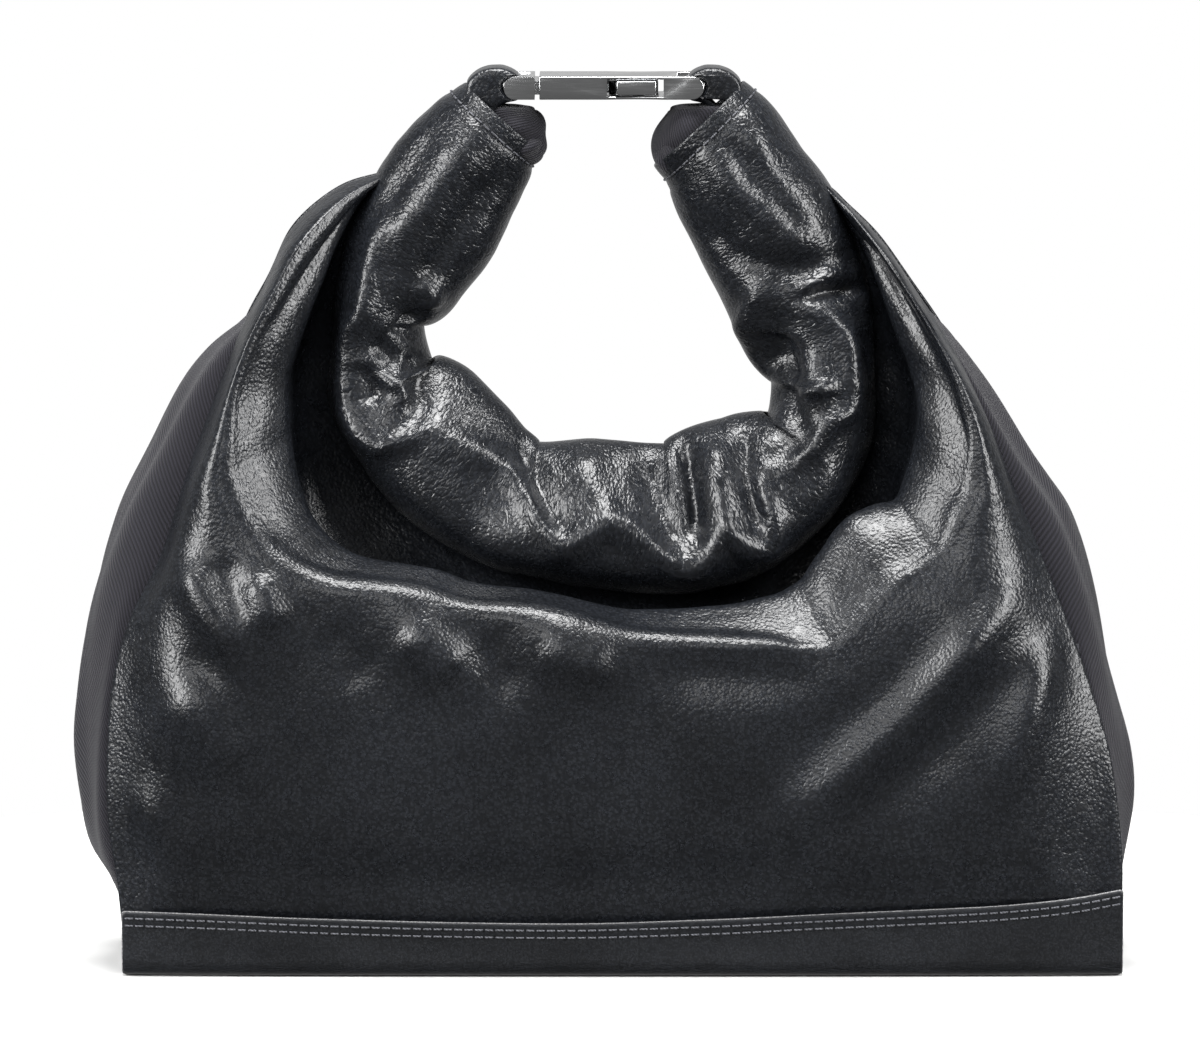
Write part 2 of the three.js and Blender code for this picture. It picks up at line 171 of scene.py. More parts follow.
# The lip that hangs in front of the rolled mouth: station, x, height, depth in front of the
# middle, radius of its fold, and how far its inner face is seen before it dives
LIP = [
    (0, -82, 300, 8, 3, 0), (0.03, -92, 293, 16, 4, 2), (0.06, -101, 284, 24, 7, 5),
    (0.10, -112, 270, 34, 10, 9), (0.14, -122, 254, 42, 12, 13), (0.17, -130, 240, 47, 13, 17),
    (0.20, -137, 217, 52, 13, 20), (0.235, -136, 200, 58, 13, 20), (0.265, -131, 182, 62, 12, 18),
    (0.295, -123, 168, 65, 11, 15), (0.315, -116, 161.5, 67, 10, 13),
    (0.33, -109, 157.5, 68, 10, 11), (0.35, -99, 154, 69, 10, 9), (0.37, -88, 152.8, 70, 9, 7),
    (0.40, -66.5, 150.5, 71, 9, 5), (0.42, -51, 146, 71, 9, 4), (0.45, -32, 144.5, 72, 9, 3),
    (0.475, -17, 142, 72, 9, 3), (0.50, -2, 137.2, 72, 9, 4), (0.53, 15, 134, 72, 9, 5),
    (0.57, 42, 133, 72, 9, 8), (0.60, 62, 131.5, 71, 8, 13), (0.615, 72, 130, 70, 8, 17),
    (0.63, 81, 130.5, 69, 8, 21), (0.65, 91, 138, 68, 8, 24), (0.67, 99, 147.5, 66, 9, 24),
    (0.69, 106, 155, 64, 9, 23), (0.715, 115, 161, 61, 10, 21), (0.735, 123, 166.5, 59, 10, 18),
    (0.755, 127, 177, 57, 11, 17), (0.775, 133, 189, 54, 12, 19), (0.80, 136.8, 202, 51, 13, 21),
    (0.83, 134, 217, 46, 13, 20), (0.86, 127, 232, 41, 13, 17), (0.90, 117, 252, 33, 11, 12),
    (0.94, 106, 270, 22, 8, 7), (0.97, 96, 281, 14, 5, 3), (1, 84, 296, 8, 3, 0),
]

# Where the body leather goes in under the roll: station, x, height
ROLL_SEAT = [
    (0, -62, 312), (0.06, -68, 292), (0.14, -80, 262), (0.20, -86, 240), (0.265, -79, 215),
    (0.315, -68, 198), (0.37, -52, 186), (0.42, -36, 178), (0.50, -2, 174), (0.57, 35, 176),
    (0.63, 60, 184), (0.69, 78, 198), (0.745, 83, 212), (0.80, 80, 235), (0.86, 75, 256),
    (0.92, 67, 275), (1, 58, 300),
]

# Half depth at the side seams by height
SEAM_DEPTH = [
    (0, 51), (60, 50.5), (120, 47), (180, 42), (220, 36), (246, 30), (270, 20), (290, 9), (302, 3),
]

# The back panel's top edge, tucked under the roll: station, x, height, depth behind the middle
BACK_EDGE = [
    (0, -60, 308, 9), (0.06, -73, 291, 15), (0.14, -86, 262, 17), (0.20, -92, 240, 18),
    (0.265, -86, 212, 19), (0.315, -72, 192, 19), (0.37, -54, 180, 18), (0.42, -36, 172, 17),
    (0.50, -2, 168, 17), (0.57, 35, 169, 17), (0.63, 62, 176, 18), (0.69, 82, 192, 19),
    (0.745, 90, 210, 19), (0.80, 86, 235, 18), (0.86, 80, 256, 17), (0.92, 72, 278, 16),
    (1, 62, 302, 12),
]

# Middle line of the rolled mouth: x, height, half width seen from the front, half depth, middle depth
ROLL_LINE = [
    (-38.6, 322.8, 19.5, 19.5, 0), (-46, 314.5, 22.7, 22, 0), (-58, 297, 26, 24, 0),
    (-66, 284, 27, 25, 0), (-77, 265, 25.5, 25, 0), (-86.5, 245, 17.5, 25, -2),
    (-85, 224, 21, 26, -4), (-69.5, 205, 28, 27, -7), (-57, 192.5, 28.5, 28, -9),
    (-43.5, 181.5, 27, 28, -10), (-30, 175, 25.5, 30, -13), (-5, 173, 28.5, 31, -15),
    (25, 171, 28.5, 31, -15), (42.5, 176.5, 31, 31, -13), (60, 184, 29, 30, -11),
    (81, 202, 21, 28, -7), (83.5, 222, 20, 28, -4), (77, 243, 26, 26, -2), (71, 263, 28, 26, 0),
    (62.5, 281, 28.5, 26, 0), (53, 296.5, 27, 25, 0), (46.5, 309, 25.6, 24, 0),
    (36.2, 320.3, 23.6, 22, 0),
]

# Twill sides: height, x of the outermost swell at the left and at the right
TWILL_SWELL = [
    (4, -178, 190), (18, -180, 192.5), (31, -186, 196.5), (47, -197, 199), (66, -200, 201),
    (85, -200.5, 199), (104, -199, 195), (142, -195, 188), (172, -186.5, 178.5), (197, -174, 161),
    (227, -158, 143), (248, -140, 129),
]

# Folds and dents: (rise, half width, points as x, height); a minus rise is a valley
BODY_FOLDS = [
    (6.0, 7, [(151, 143), (128, 114), (98, 84), (66, 55)]),
    (-3.6, 9, [(158, 122), (130, 92), (96, 62)]),
    (-2.6, 10, [(120, 132), (90, 104), (62, 78)]),
    (5.2, 7, [(-158, 157), (-150, 142), (-140, 126)]),
    (-3.0, 7, [(-146, 160), (-135, 138)]),
    (5.6, 8, [(-134, 152), (-125, 134)]),
    (5.6, 11, [(-160, 112), (-150, 96), (-138, 80)]),
    (-2.8, 6, [(-155, 126), (-144, 112)]),
    (3.6, 8, [(-177, 70), (-165, 54)]),
    (8.0, 9, [(-75, 135), (-65, 127), (-55, 117)]),
    (-3.6, 8, [(-103, 136), (-90, 112)]),
    (5.0, 9, [(-24, 128), (-10, 122), (3, 118)]),
    (-3.4, 8, [(-46, 130), (-34, 110)]),
    (-2.6, 11, [(-130, 42), (-60, 36), (20, 38), (100, 42)]),
    (2.8, 9, [(112, 128), (100, 116), (84, 110)]),
    (-2.6, 8, [(20, 118), (60, 116), (84, 114)]),
    (3.2, 6, [(170, 128), (160, 100), (150, 70)]),
]

ROLL_FOLDS = [
    # left arm and the tight bend under it
    (3.8, 3.6, [(-84, 288), (-88, 272.7), (-90, 259), (-91.7, 249.4), (-96.5, 242.6), (-98.3, 234.9),
                (-98.3, 224.2), (-97, 212.6), (-92.6, 203.9), (-85.8, 199), (-77, 201.9),
                (-69.4, 204.8), (-62, 207)]),
    (-6.0, 8, [(-88, 232), (-86, 216)]),
    (-5.0, 4.5, [(-88, 240), (-82, 236), (-76, 231)]),
    (3.4, 3, [(-91.7, 231), (-84, 226.5), (-77, 221), (-73.4, 214.5)]),
    (-9, 5.0, [(-76, 248), (-74, 244.5)]),
    (4.0, 4.5, [(-70, 262), (-66, 257), (-66, 251)]),
    (-4.0, 4.5, [(-72, 238), (-70, 228), (-70, 218), (-73, 210)]),
    (-3.0, 5, [(-40, 302), (-54, 284), (-64, 268), (-72, 258)]),
    (2.2, 6, [(-48, 318), (-60, 301), (-73, 286), (-82, 274)]),
    (-2.0, 5, [(-62, 322), (-78, 300), (-92, 278)]),
    # the scalloped edge along the bottom of the roll, and the pleats above it
    (5.2, 5.0, [(-64, 200), (-57, 201), (-43.2, 195.1), (-31, 186), (-23.5, 173), (-16.5, 163.5),
                (-9.3, 165),
                (1.9, 171), (9.3, 169.3), (17.5, 163.5), (24.1, 157.7), (29.9, 154.6), (35.6, 155),
                (40.6, 159.4), (43.9, 165.1), (46.3, 168.4), (51.3, 164.3), (57.1, 161.6), (62, 161.4),
                (64.6, 165), (63.7, 171), (61.2, 179.2), (58.7, 184)]),
    (-5.5, 3.6, [(-31, 199), (-26.5, 187), (-20.5, 175), (-16.5, 168)]),
    (2.6, 8, [(-8, 198), (-5, 184), (2, 174)]),
    (-5.0, 6, [(17, 196), (20, 184), (25, 171), (29, 162)]),
    (-6.5, 3, [(30, 200), (32.3, 192), (34, 179), (35.6, 167)]),
    (4.2, 5.5, [(42, 201), (44, 186), (46.3, 170)]),
    (-5.0, 3, [(52.9, 202), (53.8, 188), (57, 177), (60.5, 168)]),
    (2.4, 6, [(66, 208), (62, 196)]),
    # the tight bend and the right arm above it
    (4.0, 3.6, [(62, 190), (71, 191.5), (76.8, 196.5), (81, 202.2), (85, 208), (93.3, 213), (94.6, 221),
                (93.3, 235.4), (90.4, 243.2), (84, 249), (76.8, 253)]),
    (3.4, 3, [(74.9, 257.7), (81, 262), (88.4, 266.4)]),
    (-4.5, 2.4, [(75, 256), (84, 258.5), (96, 258.7)]),
    (1.8, 2.4, [(98, 256), (102, 240), (102, 222)]),
    (-11, 9.0, [(66, 242), (64, 232), (66, 222)]),
    (-4.5, 4.0, [(69, 228), (71, 214), (76, 206)]),
    (6.5, 7.5, [(79, 224), (80, 218)]),
    (2.6, 5, [(38, 312), (50.6, 296.5), (62.3, 286.8), (70, 279), (79.7, 272.3)]),
    (2.6, 6, [(53.5, 322.7), (58.4, 310), (65.2, 296.5), (74.9, 284.9), (84.6, 275.2)]),
    (-2.6, 5, [(46, 316), (56, 303), (66, 292), (78, 279)]),
    (3.4, 4, [(60, 261), (55, 250), (50.6, 240.3), (47.7, 232.5)]),
    (-3.4, 5, [(36, 285), (50, 272), (66, 266), (86, 268)]),
]


def join(t, start, end, leaving, arriving):
    """The smooth curve from one value to the next that leaves and arrives at the given slopes."""
    return ((2 * t ** 3 - 3 * t ** 2 + 1) * start + (t ** 3 - 2 * t ** 2 + t) * leaving
            + (3 * t ** 2 - 2 * t ** 3) * end + (t ** 3 - t ** 2) * arriving)


def follow(table, at):
    """Smooth values of a table's columns at the given places in its first column, with no overshoot."""
    table = np.asarray(table, float)
    keys, values = table[:, 0], table[:, 1:]
    rates = np.diff(values, axis=0) / np.diff(keys)[:, None]
    before, after = rates[:-1], rates[1:]
    steady_rate = 2 * before * after / np.where(before + after == 0, 1, before + after)
    slopes = np.concatenate([rates[:1], np.where(before * after > 0, steady_rate, 0), rates[-1:]])
    at = np.clip(np.asarray(at, float), keys[0], keys[-1])
    i = np.clip(np.searchsorted(keys, at, side="right") - 1, 0, len(keys) - 2)
    width = (keys[i + 1] - keys[i])[..., None]
    t = (at - keys[i])[..., None] / width
    return join(t, values[i], values[i + 1], width * slopes[i], width * slopes[i + 1])


def ease(low, high, value):
    t = np.clip((value - low) / (high - low), 0, 1)
    return t * t * (3 - 2 * t)


def unit(vectors):
    return vectors / np.maximum(np.linalg.norm(vectors, axis=-1, keepdims=True), 1e-9)


def fold_height(x, z, folds):
    """How far the folds lift the surface at each x and height; each fold fades at its two ends."""
    lift = np.zeros_like(x)
    for rise, half_width, points in folds:
        points = np.asarray(points, float)
        steps = np.diff(points, axis=0)
        lengths = np.linalg.norm(steps, axis=1)
        run = np.concatenate([[0], np.cumsum(lengths)])
        nearest = np.full(x.shape, 1e9)
        share = np.zeros_like(x)
        for start, step, length, before in zip(points, steps, lengths, run):
            t = np.clip(((x - start[0]) * step[0] + (z - start[1]) * step[1]) / length ** 2, 0, 1)
            gap = np.hypot(x - start[0] - t * step[0], z - start[1] - t * step[1])
            closer = gap < nearest
            nearest = np.where(closer, gap, nearest)
            share = np.where(closer, (before + t * length) / run[-1], share)
        fade = 0.35 + 0.65 * np.clip(np.minimum(share, 1 - share) / 0.18, 0, 1)
        lift += rise * fade * np.exp(-(nearest / half_width) ** 2)
    return lift


def ripple(x, y, z, scale, seed):
    """Soft, uneven swelling between -1 and 1, from a few crossing waves."""
    rng = np.random.default_rng(seed)
    total = np.zeros_like(x)
    for _ in range(7):
        direction = unit(rng.normal(size=3)) * rng.uniform(0.6, 1.6) * 2 * np.pi / scale
        total += np.sin(direction[0] * x + direction[1] * y + direction[2] * z + rng.uniform(0, 6.3))
    return total / 4


def grid_normals(points, closed=False):
    if closed:
        wrapped = np.concatenate([points[:, -1:], points, points[:, :1]], axis=1)
        across = np.gradient(wrapped, axis=1)[:, 1:-1]
    else:
        across = np.gradient(points, axis=1)
    return unit(np.cross(np.gradient(points, axis=0), across))


def steady(lift, rounds, closed=False):
    """Evens out a grid of values a little."""
    for _ in range(rounds):
        padded = np.pad(lift, ((1, 1), (0, 0)), mode="edge")
        padded = np.pad(padded, ((0, 0), (1, 1)), mode="wrap" if closed else "edge")
        lift = (padded[:-2, 1:-1] + padded[2:, 1:-1] + padded[1:-1, :-2] + padded[1:-1, 2:]
                + 4 * lift) / 8
    return lift


# --- Meshes ---


@contextmanager
def edited(mesh):
    """A mesh opened for editing and written back afterwards."""
    work = bmesh.new()
    work.from_mesh(mesh)
    yield work
    work.to_mesh(mesh)
    work.free()


def new_object(name, data):
    piece = bpy.data.objects.new(name, data)
    bpy.context.scene.collection.objects.link(piece)
    return piece


def sheet_mesh(name, points, closed=False, outward=None, uv=None):
    """A mesh through a grid of points in millimetres. outward is a direction that the middle of the
    sheet faces, and uv is a grid of pattern coordinates in metres."""
    rows, columns = points.shape[:2]
    verts = points.reshape(-1, 3) * MM
    wrap = columns if closed else columns - 1
    i, j = np.meshgrid(np.arange(rows - 1), np.arange(wrap), indexing="ij")
    k = (j + 1) % columns
    faces = np.stack([i * columns + j, (i + 1) * columns + j, (i + 1) * columns + k, i * columns + k],
                     axis=-1).reshape(-1, 4)
    corners = np.stack([np.stack([i + down, j + right], -1)
                        for down, right in ((0, 0), (1, 0), (1, 1), (0, 1))], axis=2).reshape(-1, 4, 2)
    if outward is not None:
        middle = faces[len(faces) // 2]
        a, b, c = verts[middle[0]], verts[middle[1]], verts[middle[3]]
        if np.dot(np.cross(b - a, c - a), outward) < 0:
            faces, corners = faces[:, ::-1], corners[:, ::-1]
    mesh = bpy.data.meshes.new(name)
    mesh.from_pydata(verts.tolist(), [], faces.tolist())
    if uv is not None:
        layer = mesh.uv_layers.new(name="surface")
        flat = uv[corners[..., 0], corners[..., 1]].reshape(-1, 2)
        layer.data.foreach_set("uv", flat.astype(np.float32).ravel())
    mesh.shade_smooth()
    mesh.update()
    return new_object(name, mesh)


def surface_uv(points):
    """Distance along the rows and along the columns of a grid, in metres."""
    rows, columns = points.shape[:2]
    along = np.linalg.norm(np.diff(points[:, columns // 2], axis=0), axis=1)
    across = np.linalg.norm(np.diff(points[rows // 2], axis=0), axis=1)
    u = np.concatenate([[0], np.cumsum(along)])
    v = np.concatenate([[0], np.cumsum(across)])
    return np.stack(np.meshgrid(u, v, indexing="ij"), axis=-1) * MM


def close_up(piece):
    """Fills the holes of a closed piece and turns its faces outwards."""
    with edited(piece.data) as work:
        bmesh.ops.holes_fill(work, edges=[e for e in work.edges if e.is_boundary], sides=0)
        bmesh.ops.recalc_face_normals(work, faces=work.faces)
    piece.data.shade_smooth()
    return piece


def thicken(piece, thickness):
    """Gives a sheet its thickness on its inner side."""
    wall = piece.modifiers.new("thickness", "SOLIDIFY")
    wall.thickness = thickness
    wall.offset = -1
    wall.use_even_offset = False
    return wall


def smooth_out(piece):
    smoothing = piece.modifiers.new("smooth", "SUBSURF")
    smoothing.levels = 1
    smoothing.render_levels = 1
    return piece


def across_ends(stations):
    """1 at the two side seams and 0 along the base, for stations round the bag."""
    return 1 - ease(0.30, 0.37, stations) * (1 - ease(0.63, 0.70, stations))


def cut_in_halves(whole, axis=0, place=SPLIT_X, names=("left", "right")):
    """Cuts a finished piece across one axis, as a rule where the two sides of the bag meet. Both halves
    keep the whole piece's normals, so that no line shows between them."""
    graph = bpy.context.evaluated_depsgraph_get()
    mesh = bpy.data.meshes.new_from_object(whole.evaluated_get(graph))
    normals = np.zeros(len(mesh.loops) * 3, np.float32)
    mesh.corner_normals.foreach_get("vector", normals)
    kept = mesh.attributes.new("kept_normal", "FLOAT_VECTOR", "CORNER")
    kept.data.foreach_set("vector", normals)
    halves = []
    for side, sign in zip(names, (-1, 1)):
        work = bmesh.new()
        work.from_mesh(mesh)
        far = [f for f in work.faces if (f.calc_center_median()[axis] - place * MM) * sign < 0]
        bmesh.ops.delete(work, geom=far, context="FACES")
        part = bpy.data.meshes.new(f"{whole.name}_{side}")
        work.to_mesh(part)
        work.free()
        for material in mesh.materials:
            part.materials.append(material)
        part.shade_smooth()
        values = np.zeros(len(part.loops) * 3, np.float32)
        part.attributes["kept_normal"].data.foreach_get("vector", values)
        part.attributes.remove(part.attributes["kept_normal"])
        part.normals_split_custom_set(values.reshape(-1, 3).tolist())
        half = new_object(part.name, part)
        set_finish(half, whole["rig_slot"])
        halves.append((half, side))
    bpy.data.objects.remove(whole)
    bpy.data.meshes.remove(mesh)
    return halves


def welded_copy(node, name):
    """The mesh of a CAD node as a new piece, with its loose triangles joined."""
    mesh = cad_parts[node].data.copy()
    mesh.materials.clear()
    with edited(mesh) as work:
        bmesh.ops.remove_doubles(work, verts=work.verts, dist=WELD)
        bmesh.ops.dissolve_limit(work, angle_limit=FLAT_ANGLE, verts=work.verts, edges=work.edges)
    mesh.shade_smooth()
    return new_object(name, mesh)


def dress(piece, material, slot):
    piece.data.materials.clear()
    piece.data.materials.append(material)
    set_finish(piece, slot)
    return piece


def swing(piece, side):
    """Lets a soft piece follow the bag at its foot and one arm at its top."""
    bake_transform(piece, "bag", f"{side}_side", start=(0, 0, BEND_START * MM), end=(0, 0, BEND_END * MM))
    return piece


# --- Materials ---

RAMP = "ShaderNodeValToRGB"


def add(tree, kind, settings=None, **links):
    """Adds a shader or geometry node. A setting is one of its properties or inputs, or the stops of a
    ramp, where a single number is a grey. A link goes to the input of that name or number."""
    node = tree.nodes.new(kind)
    for key, value in (settings or {}).items():
        if key == "stops":
            elements = node.color_ramp.elements
            while len(elements) < len(value):
                elements.new(0.5)
            for element, (place, colour) in zip(elements, value):
                element.position = place
                element.color = colour if isinstance(colour, (tuple, list)) else (colour, colour, colour, 1)
        elif isinstance(key, int) or key in node.inputs:
            node.inputs[key].default_value = value
        else:
            setattr(node, key, value)
    for key, source in links.items():
        socket = node.inputs[int(key[1:])] if key[1:].isdigit() else node.inputs[key.replace("_", " ")]
        tree.links.new(source, socket)
    return node


def material_with_shader(name, **shader):
    """A named material: its tree and its shader, already joined to the output."""
    material = bpy.data.materials.new(name)
    material.use_nodes = True
    tree = material.node_tree
    tree.nodes.clear()
    principled = add(tree, "ShaderNodeBsdfPrincipled", {k.replace("_", " "): v for k, v in shader.items()})
    add(tree, "ShaderNodeOutputMaterial", {}, Surface=principled.outputs[0])
    return material, tree, principled


def shade(colour, factor):
    return (colour[0] * factor, colour[1] * factor, colour[2] * factor, 1)


def grain_leather(name, grain_mm, grain_depth, crease_mm, crease_depth, gloss, stretch=None):
    """Aniline-dyed cowhide with a natural milled grain: small rounded pebbles between fine creases, and
    a waxy half-gloss on the tops of the pebbles. stretch draws the grain out along a bend."""
    colour = bpy.context.scene.handbag_colours.leather
    material, tree, shader = material_with_shader(name, Roughness=gloss, Specular_IOR_Level=0.5, IOR=1.5)
    if stretch:
        place = add(tree, "ShaderNodeUVMap", {"uv_map": "surface"}).outputs[0]
    else:
        place = add(tree, "ShaderNodeTexCoord").outputs["Object"]
    bent = add(tree, "ShaderNodeMapping", {"Scale": stretch or (1, 1, 1)}, Vector=place).outputs[0]
    warp = add(tree, "ShaderNodeTexNoise", {"Scale": 1000 / (grain_mm * 3), "Detail": 1.0}, Vector=bent)
    warped = add(tree, "ShaderNodeVectorMath", {"operation": "MULTIPLY_ADD", 1: (GRAIN_WARP,) * 3},
                 _0=warp.outputs["Color"], _2=bent).outputs[0]
    pebbles = add(tree, "ShaderNodeTexVoronoi", {"feature": "F1", "Scale": 1000 / grain_mm},
                  Vector=warped).outputs["Distance"]
    wrinkles = add(tree, "ShaderNodeTexNoise", {"Scale": 1000 / crease_mm, "Detail": 2.0, "Roughness": 0.5,
                                                "Distortion": 0.2}, Vector=bent).outputs["Fac"]
    mottle = add(tree, "ShaderNodeTexNoise", {"Scale": 1000 / 45.0, "Detail": 2.0, "Roughness": 0.55},
                 Vector=bent).outputs["Fac"]
    pebble_top = add(tree, RAMP, {"stops": [(0, 1), (0.3, 0.88), (0.55, 0.45), (0.75, 0.25)]}, Fac=pebbles)
    pebble_foot = add(tree, RAMP, {"stops": [(0.25, 1), (0.62, 0.5)]}, Fac=pebbles)
    crease = add(tree, RAMP, {"stops": [(0.42, 1), (0.5, 0), (0.58, 1)]}, Fac=wrinkles)
    tint = add(tree, RAMP, {"stops": [(0.35, shade(colour, 1.05)), (0.62, shade(colour, 1.5))]}, Fac=mottle)
    dyed = add(tree, "ShaderNodeMix", {"data_type": "RGBA", "blend_type": "MULTIPLY", 0: 1.0},
               _6=tint.outputs[0], _7=pebble_foot.outputs[0])
    tree.links.new(dyed.outputs[2], shader.inputs["Base Color"])
    worn = add(tree, RAMP, {"stops": [(0.3, gloss + 0.06), (0.7, gloss - 0.04)]}, Fac=wrinkles)
    tree.links.new(worn.outputs[0], shader.inputs["Roughness"])
    deep = add(tree, "ShaderNodeMath", {"operation": "MULTIPLY", 1: crease_depth}, _0=crease.outputs[0])
    height = add(tree, "ShaderNodeMath", {"operation": "MULTIPLY_ADD", 1: grain_depth},
                 _0=pebble_top.outputs[0], _2=deep.outputs[0])
    bump = add(tree, "ShaderNodeBump", {"Strength": 1.0, "Distance": MM}, Height=height.outputs[0])
    tree.links.new(bump.outputs[0], shader.inputs["Normal"])
    return material


def body_leather():
    """The hide of the body, as it hangs."""
    return grain_leather("milled_cowhide_black", grain_mm=1.35, grain_depth=0.12,
                         crease_mm=4.2, crease_depth=0.05, gloss=0.29)


def roll_leather():
    """The same hide where it is bent: its grain opens into short wrinkles across the roll."""
    return grain_leather("milled_cowhide_creased", grain_mm=1.35, grain_depth=0.12,
                         crease_mm=4.6, crease_depth=0.10, gloss=0.27, stretch=(1.35, 0.85, 1))


def band_leather():
    """Smooth, firmer cowhide of the base band: finer grain and an even half-matt finish."""
    return grain_leather("smooth_cowhide_black", grain_mm=0.9, grain_depth=0.025,
                         crease_mm=2.4, crease_depth=0.03, gloss=0.40)


def cut_edge():
    """The cut edge of vegetable-tanned leather, left undyed: a thin, pale, fibrous line."""
    material, tree, shader = material_with_shader("raw_leather_edge", Roughness=0.85)
    place = add(tree, "ShaderNodeTexCoord").outputs["Object"]
    fibre = add(tree, "ShaderNodeTexNoise", {"Scale": 1000 / 0.8, "Detail": 3.0}, Vector=place)
    colour = add(tree, RAMP, {"stops": [(0.35, linear("#4a4a4e")), (0.65, linear("#8d8c8c"))]},
                 Fac=fibre.outputs["Fac"])
    tree.links.new(colour.outputs[0], shader.inputs["Base Color"])
    bump = add(tree, "ShaderNodeBump", {"Strength": 0.6, "Distance": 0.2 * MM}, Height=fibre.outputs["Fac"])
    tree.links.new(bump.outputs[0], shader.inputs["Normal"])
    return material


def cotton_twill():
    """Heavy cotton twill: diagonal ribs a little coarser than real so that they show, matt with a soft
    sheen of loose fibre."""
    colour = bpy.context.scene.handbag_colours.twill
    material, tree, shader = material_with_shader("cotton_twill_charcoal", Roughness=0.88, Sheen_Weight=0.12,
                                                  Sheen_Roughness=0.5, Specular_IOR_Level=0.2)
    place = add(tree, "ShaderNodeUVMap", {"uv_map": "surface"}).outputs[0]
    turned = add(tree, "ShaderNodeMapping", {"Rotation": (0, 0, math.radians(58))}, Vector=place).outputs[0]
    ribs = add(tree, "ShaderNodeTexWave",
               {"wave_type": "BANDS", "bands_direction": "X", "Scale": 1000 / 1.15 / WAVES_PER_UNIT,
                "Distortion": 0.6, "Detail": 2.0, "Detail Scale": 1.5}, Vector=turned)
    yarn = add(tree, "ShaderNodeTexWave",
               {"wave_type": "BANDS", "bands_direction": "Y", "Scale": 1000 / 0.6 / WAVES_PER_UNIT,
                "Distortion": 0.8, "Detail": 1.0}, Vector=place)
    slub = add(tree, "ShaderNodeTexNoise", {"Scale": 1000 / 14.0, "Detail": 4.0, "Roughness": 0.6},
               Vector=place)
    dyed = add(tree, RAMP, {"stops": [(0.1, shade(colour, 0.5)), (0.8, shade(colour, 1.35))]},
               Fac=ribs.outputs["Fac"])
    uneven = add(tree, RAMP, {"stops": [(0.3, 0.75), (0.7, 1.0)]}, Fac=slub.outputs["Fac"])
    weave = add(tree, "ShaderNodeMix", {"data_type": "RGBA", "blend_type": "MULTIPLY", 0: 0.45},
                _6=dyed.outputs[0], _7=uneven.outputs[0])
    tree.links.new(weave.outputs[2], shader.inputs["Base Color"])
    first = add(tree, "ShaderNodeBump", {"Strength": 0.7, "Distance": 0.35 * MM}, Height=ribs.outputs["Fac"])
    second = add(tree, "ShaderNodeBump", {"Strength": 0.3, "Distance": 0.15 * MM},
                 Height=yarn.outputs["Fac"], Normal=first.outputs[0])
    tree.links.new(second.outputs[0], shader.inputs["Normal"])
    return material


def lining_cotton():
    """Plain-weave cotton lining: matt, with threads 0.7 mm apart."""
    material, tree, shader = material_with_shader(
        "plain_cotton_lining", Roughness=0.92, Sheen_Weight=0.15, Specular_IOR_Level=0.2)
    place = add(tree, "ShaderNodeUVMap", {"uv_map": "surface"}).outputs[0]
    threads = add(tree, "ShaderNodeTexBrick",
                  {"Scale": 1000 / 1.4, "Color1": linear("#2b2b31"), "Color2": linear("#222228"),
                   "Mortar": linear("#131316"), "Mortar Size": 0.02}, Vector=place)
    tree.links.new(threads.outputs["Color"], shader.inputs["Base Color"])
    bump = add(tree, "ShaderNodeBump", {"Strength": 0.4, "Distance": 0.15 * MM, "invert": True},
               Height=threads.outputs["Fac"])
    tree.links.new(bump.outputs[0], shader.inputs["Normal"])
    return material


def bonded_thread():
    """Bonded polyester thread: two twisted plies with a slight gloss."""
    colour = bpy.context.scene.handbag_colours.thread
    material, tree, shader = material_with_shader("bonded_thread", Roughness=0.5, Specular_IOR_Level=0.5)
    place = add(tree, "ShaderNodeTexCoord").outputs["Object"]
    twist = add(tree, "ShaderNodeTexWave",
                {"wave_type": "BANDS", "bands_direction": "DIAGONAL", "Scale": 1000 / 0.7 / WAVES_PER_UNIT},
                Vector=place)
    plies = add(tree, RAMP, {"stops": [(0.2, shade(colour, 0.6)), (0.8, shade(colour, 1.4))]},
                Fac=twist.outputs["Fac"])
    tree.links.new(plies.outputs[0], shader.inputs["Base Color"])
    bump = add(tree, "ShaderNodeBump", {"Strength": 0.5, "Distance": 0.1 * MM}, Height=twist.outputs["Fac"])
    tree.links.new(bump.outputs[0], shader.inputs["Normal"])
    return material


def plated_metal():
    """Zinc casting, polished and nickel plated: a clear mirror with faint handling marks."""
    colour = bpy.context.scene.handbag_colours.metal
    material, tree, shader = material_with_shader("polished_nickel", Metallic=1.0, Roughness=0.16)
    place = add(tree, "ShaderNodeTexCoord").outputs["Object"]
    haze = add(tree, "ShaderNodeTexNoise", {"Scale": 1000 / 9.0, "Detail": 4.0, "Roughness": 0.6},
               Vector=place)
    drawn = add(tree, "ShaderNodeMapping", {"Scale": (60, 900, 900)}, Vector=place).outputs[0]
    marks = add(tree, "ShaderNodeTexNoise", {"Scale": 1.0, "Detail": 5.0, "Roughness": 0.7}, Vector=drawn)
    plating = add(tree, RAMP, {"stops": [(0.3, shade(colour, 0.92)), (0.7, shade(colour, 1.0))]},
                  Fac=haze.outputs["Fac"])
    tree.links.new(plating.outputs[0], shader.inputs["Base Color"])
    worn = add(tree, RAMP, {"stops": [(0.35, 0.12), (0.7, 0.27)]}, Fac=marks.outputs["Fac"])
    tree.links.new(worn.outputs[0], shader.inputs["Roughness"])
    bump = add(tree, "ShaderNodeBump", {"Strength": 0.12, "Distance": 0.05 * MM},
               Height=marks.outputs["Fac"])
    tree.links.new(bump.outputs[0], shader.inputs["Normal"])
    return material


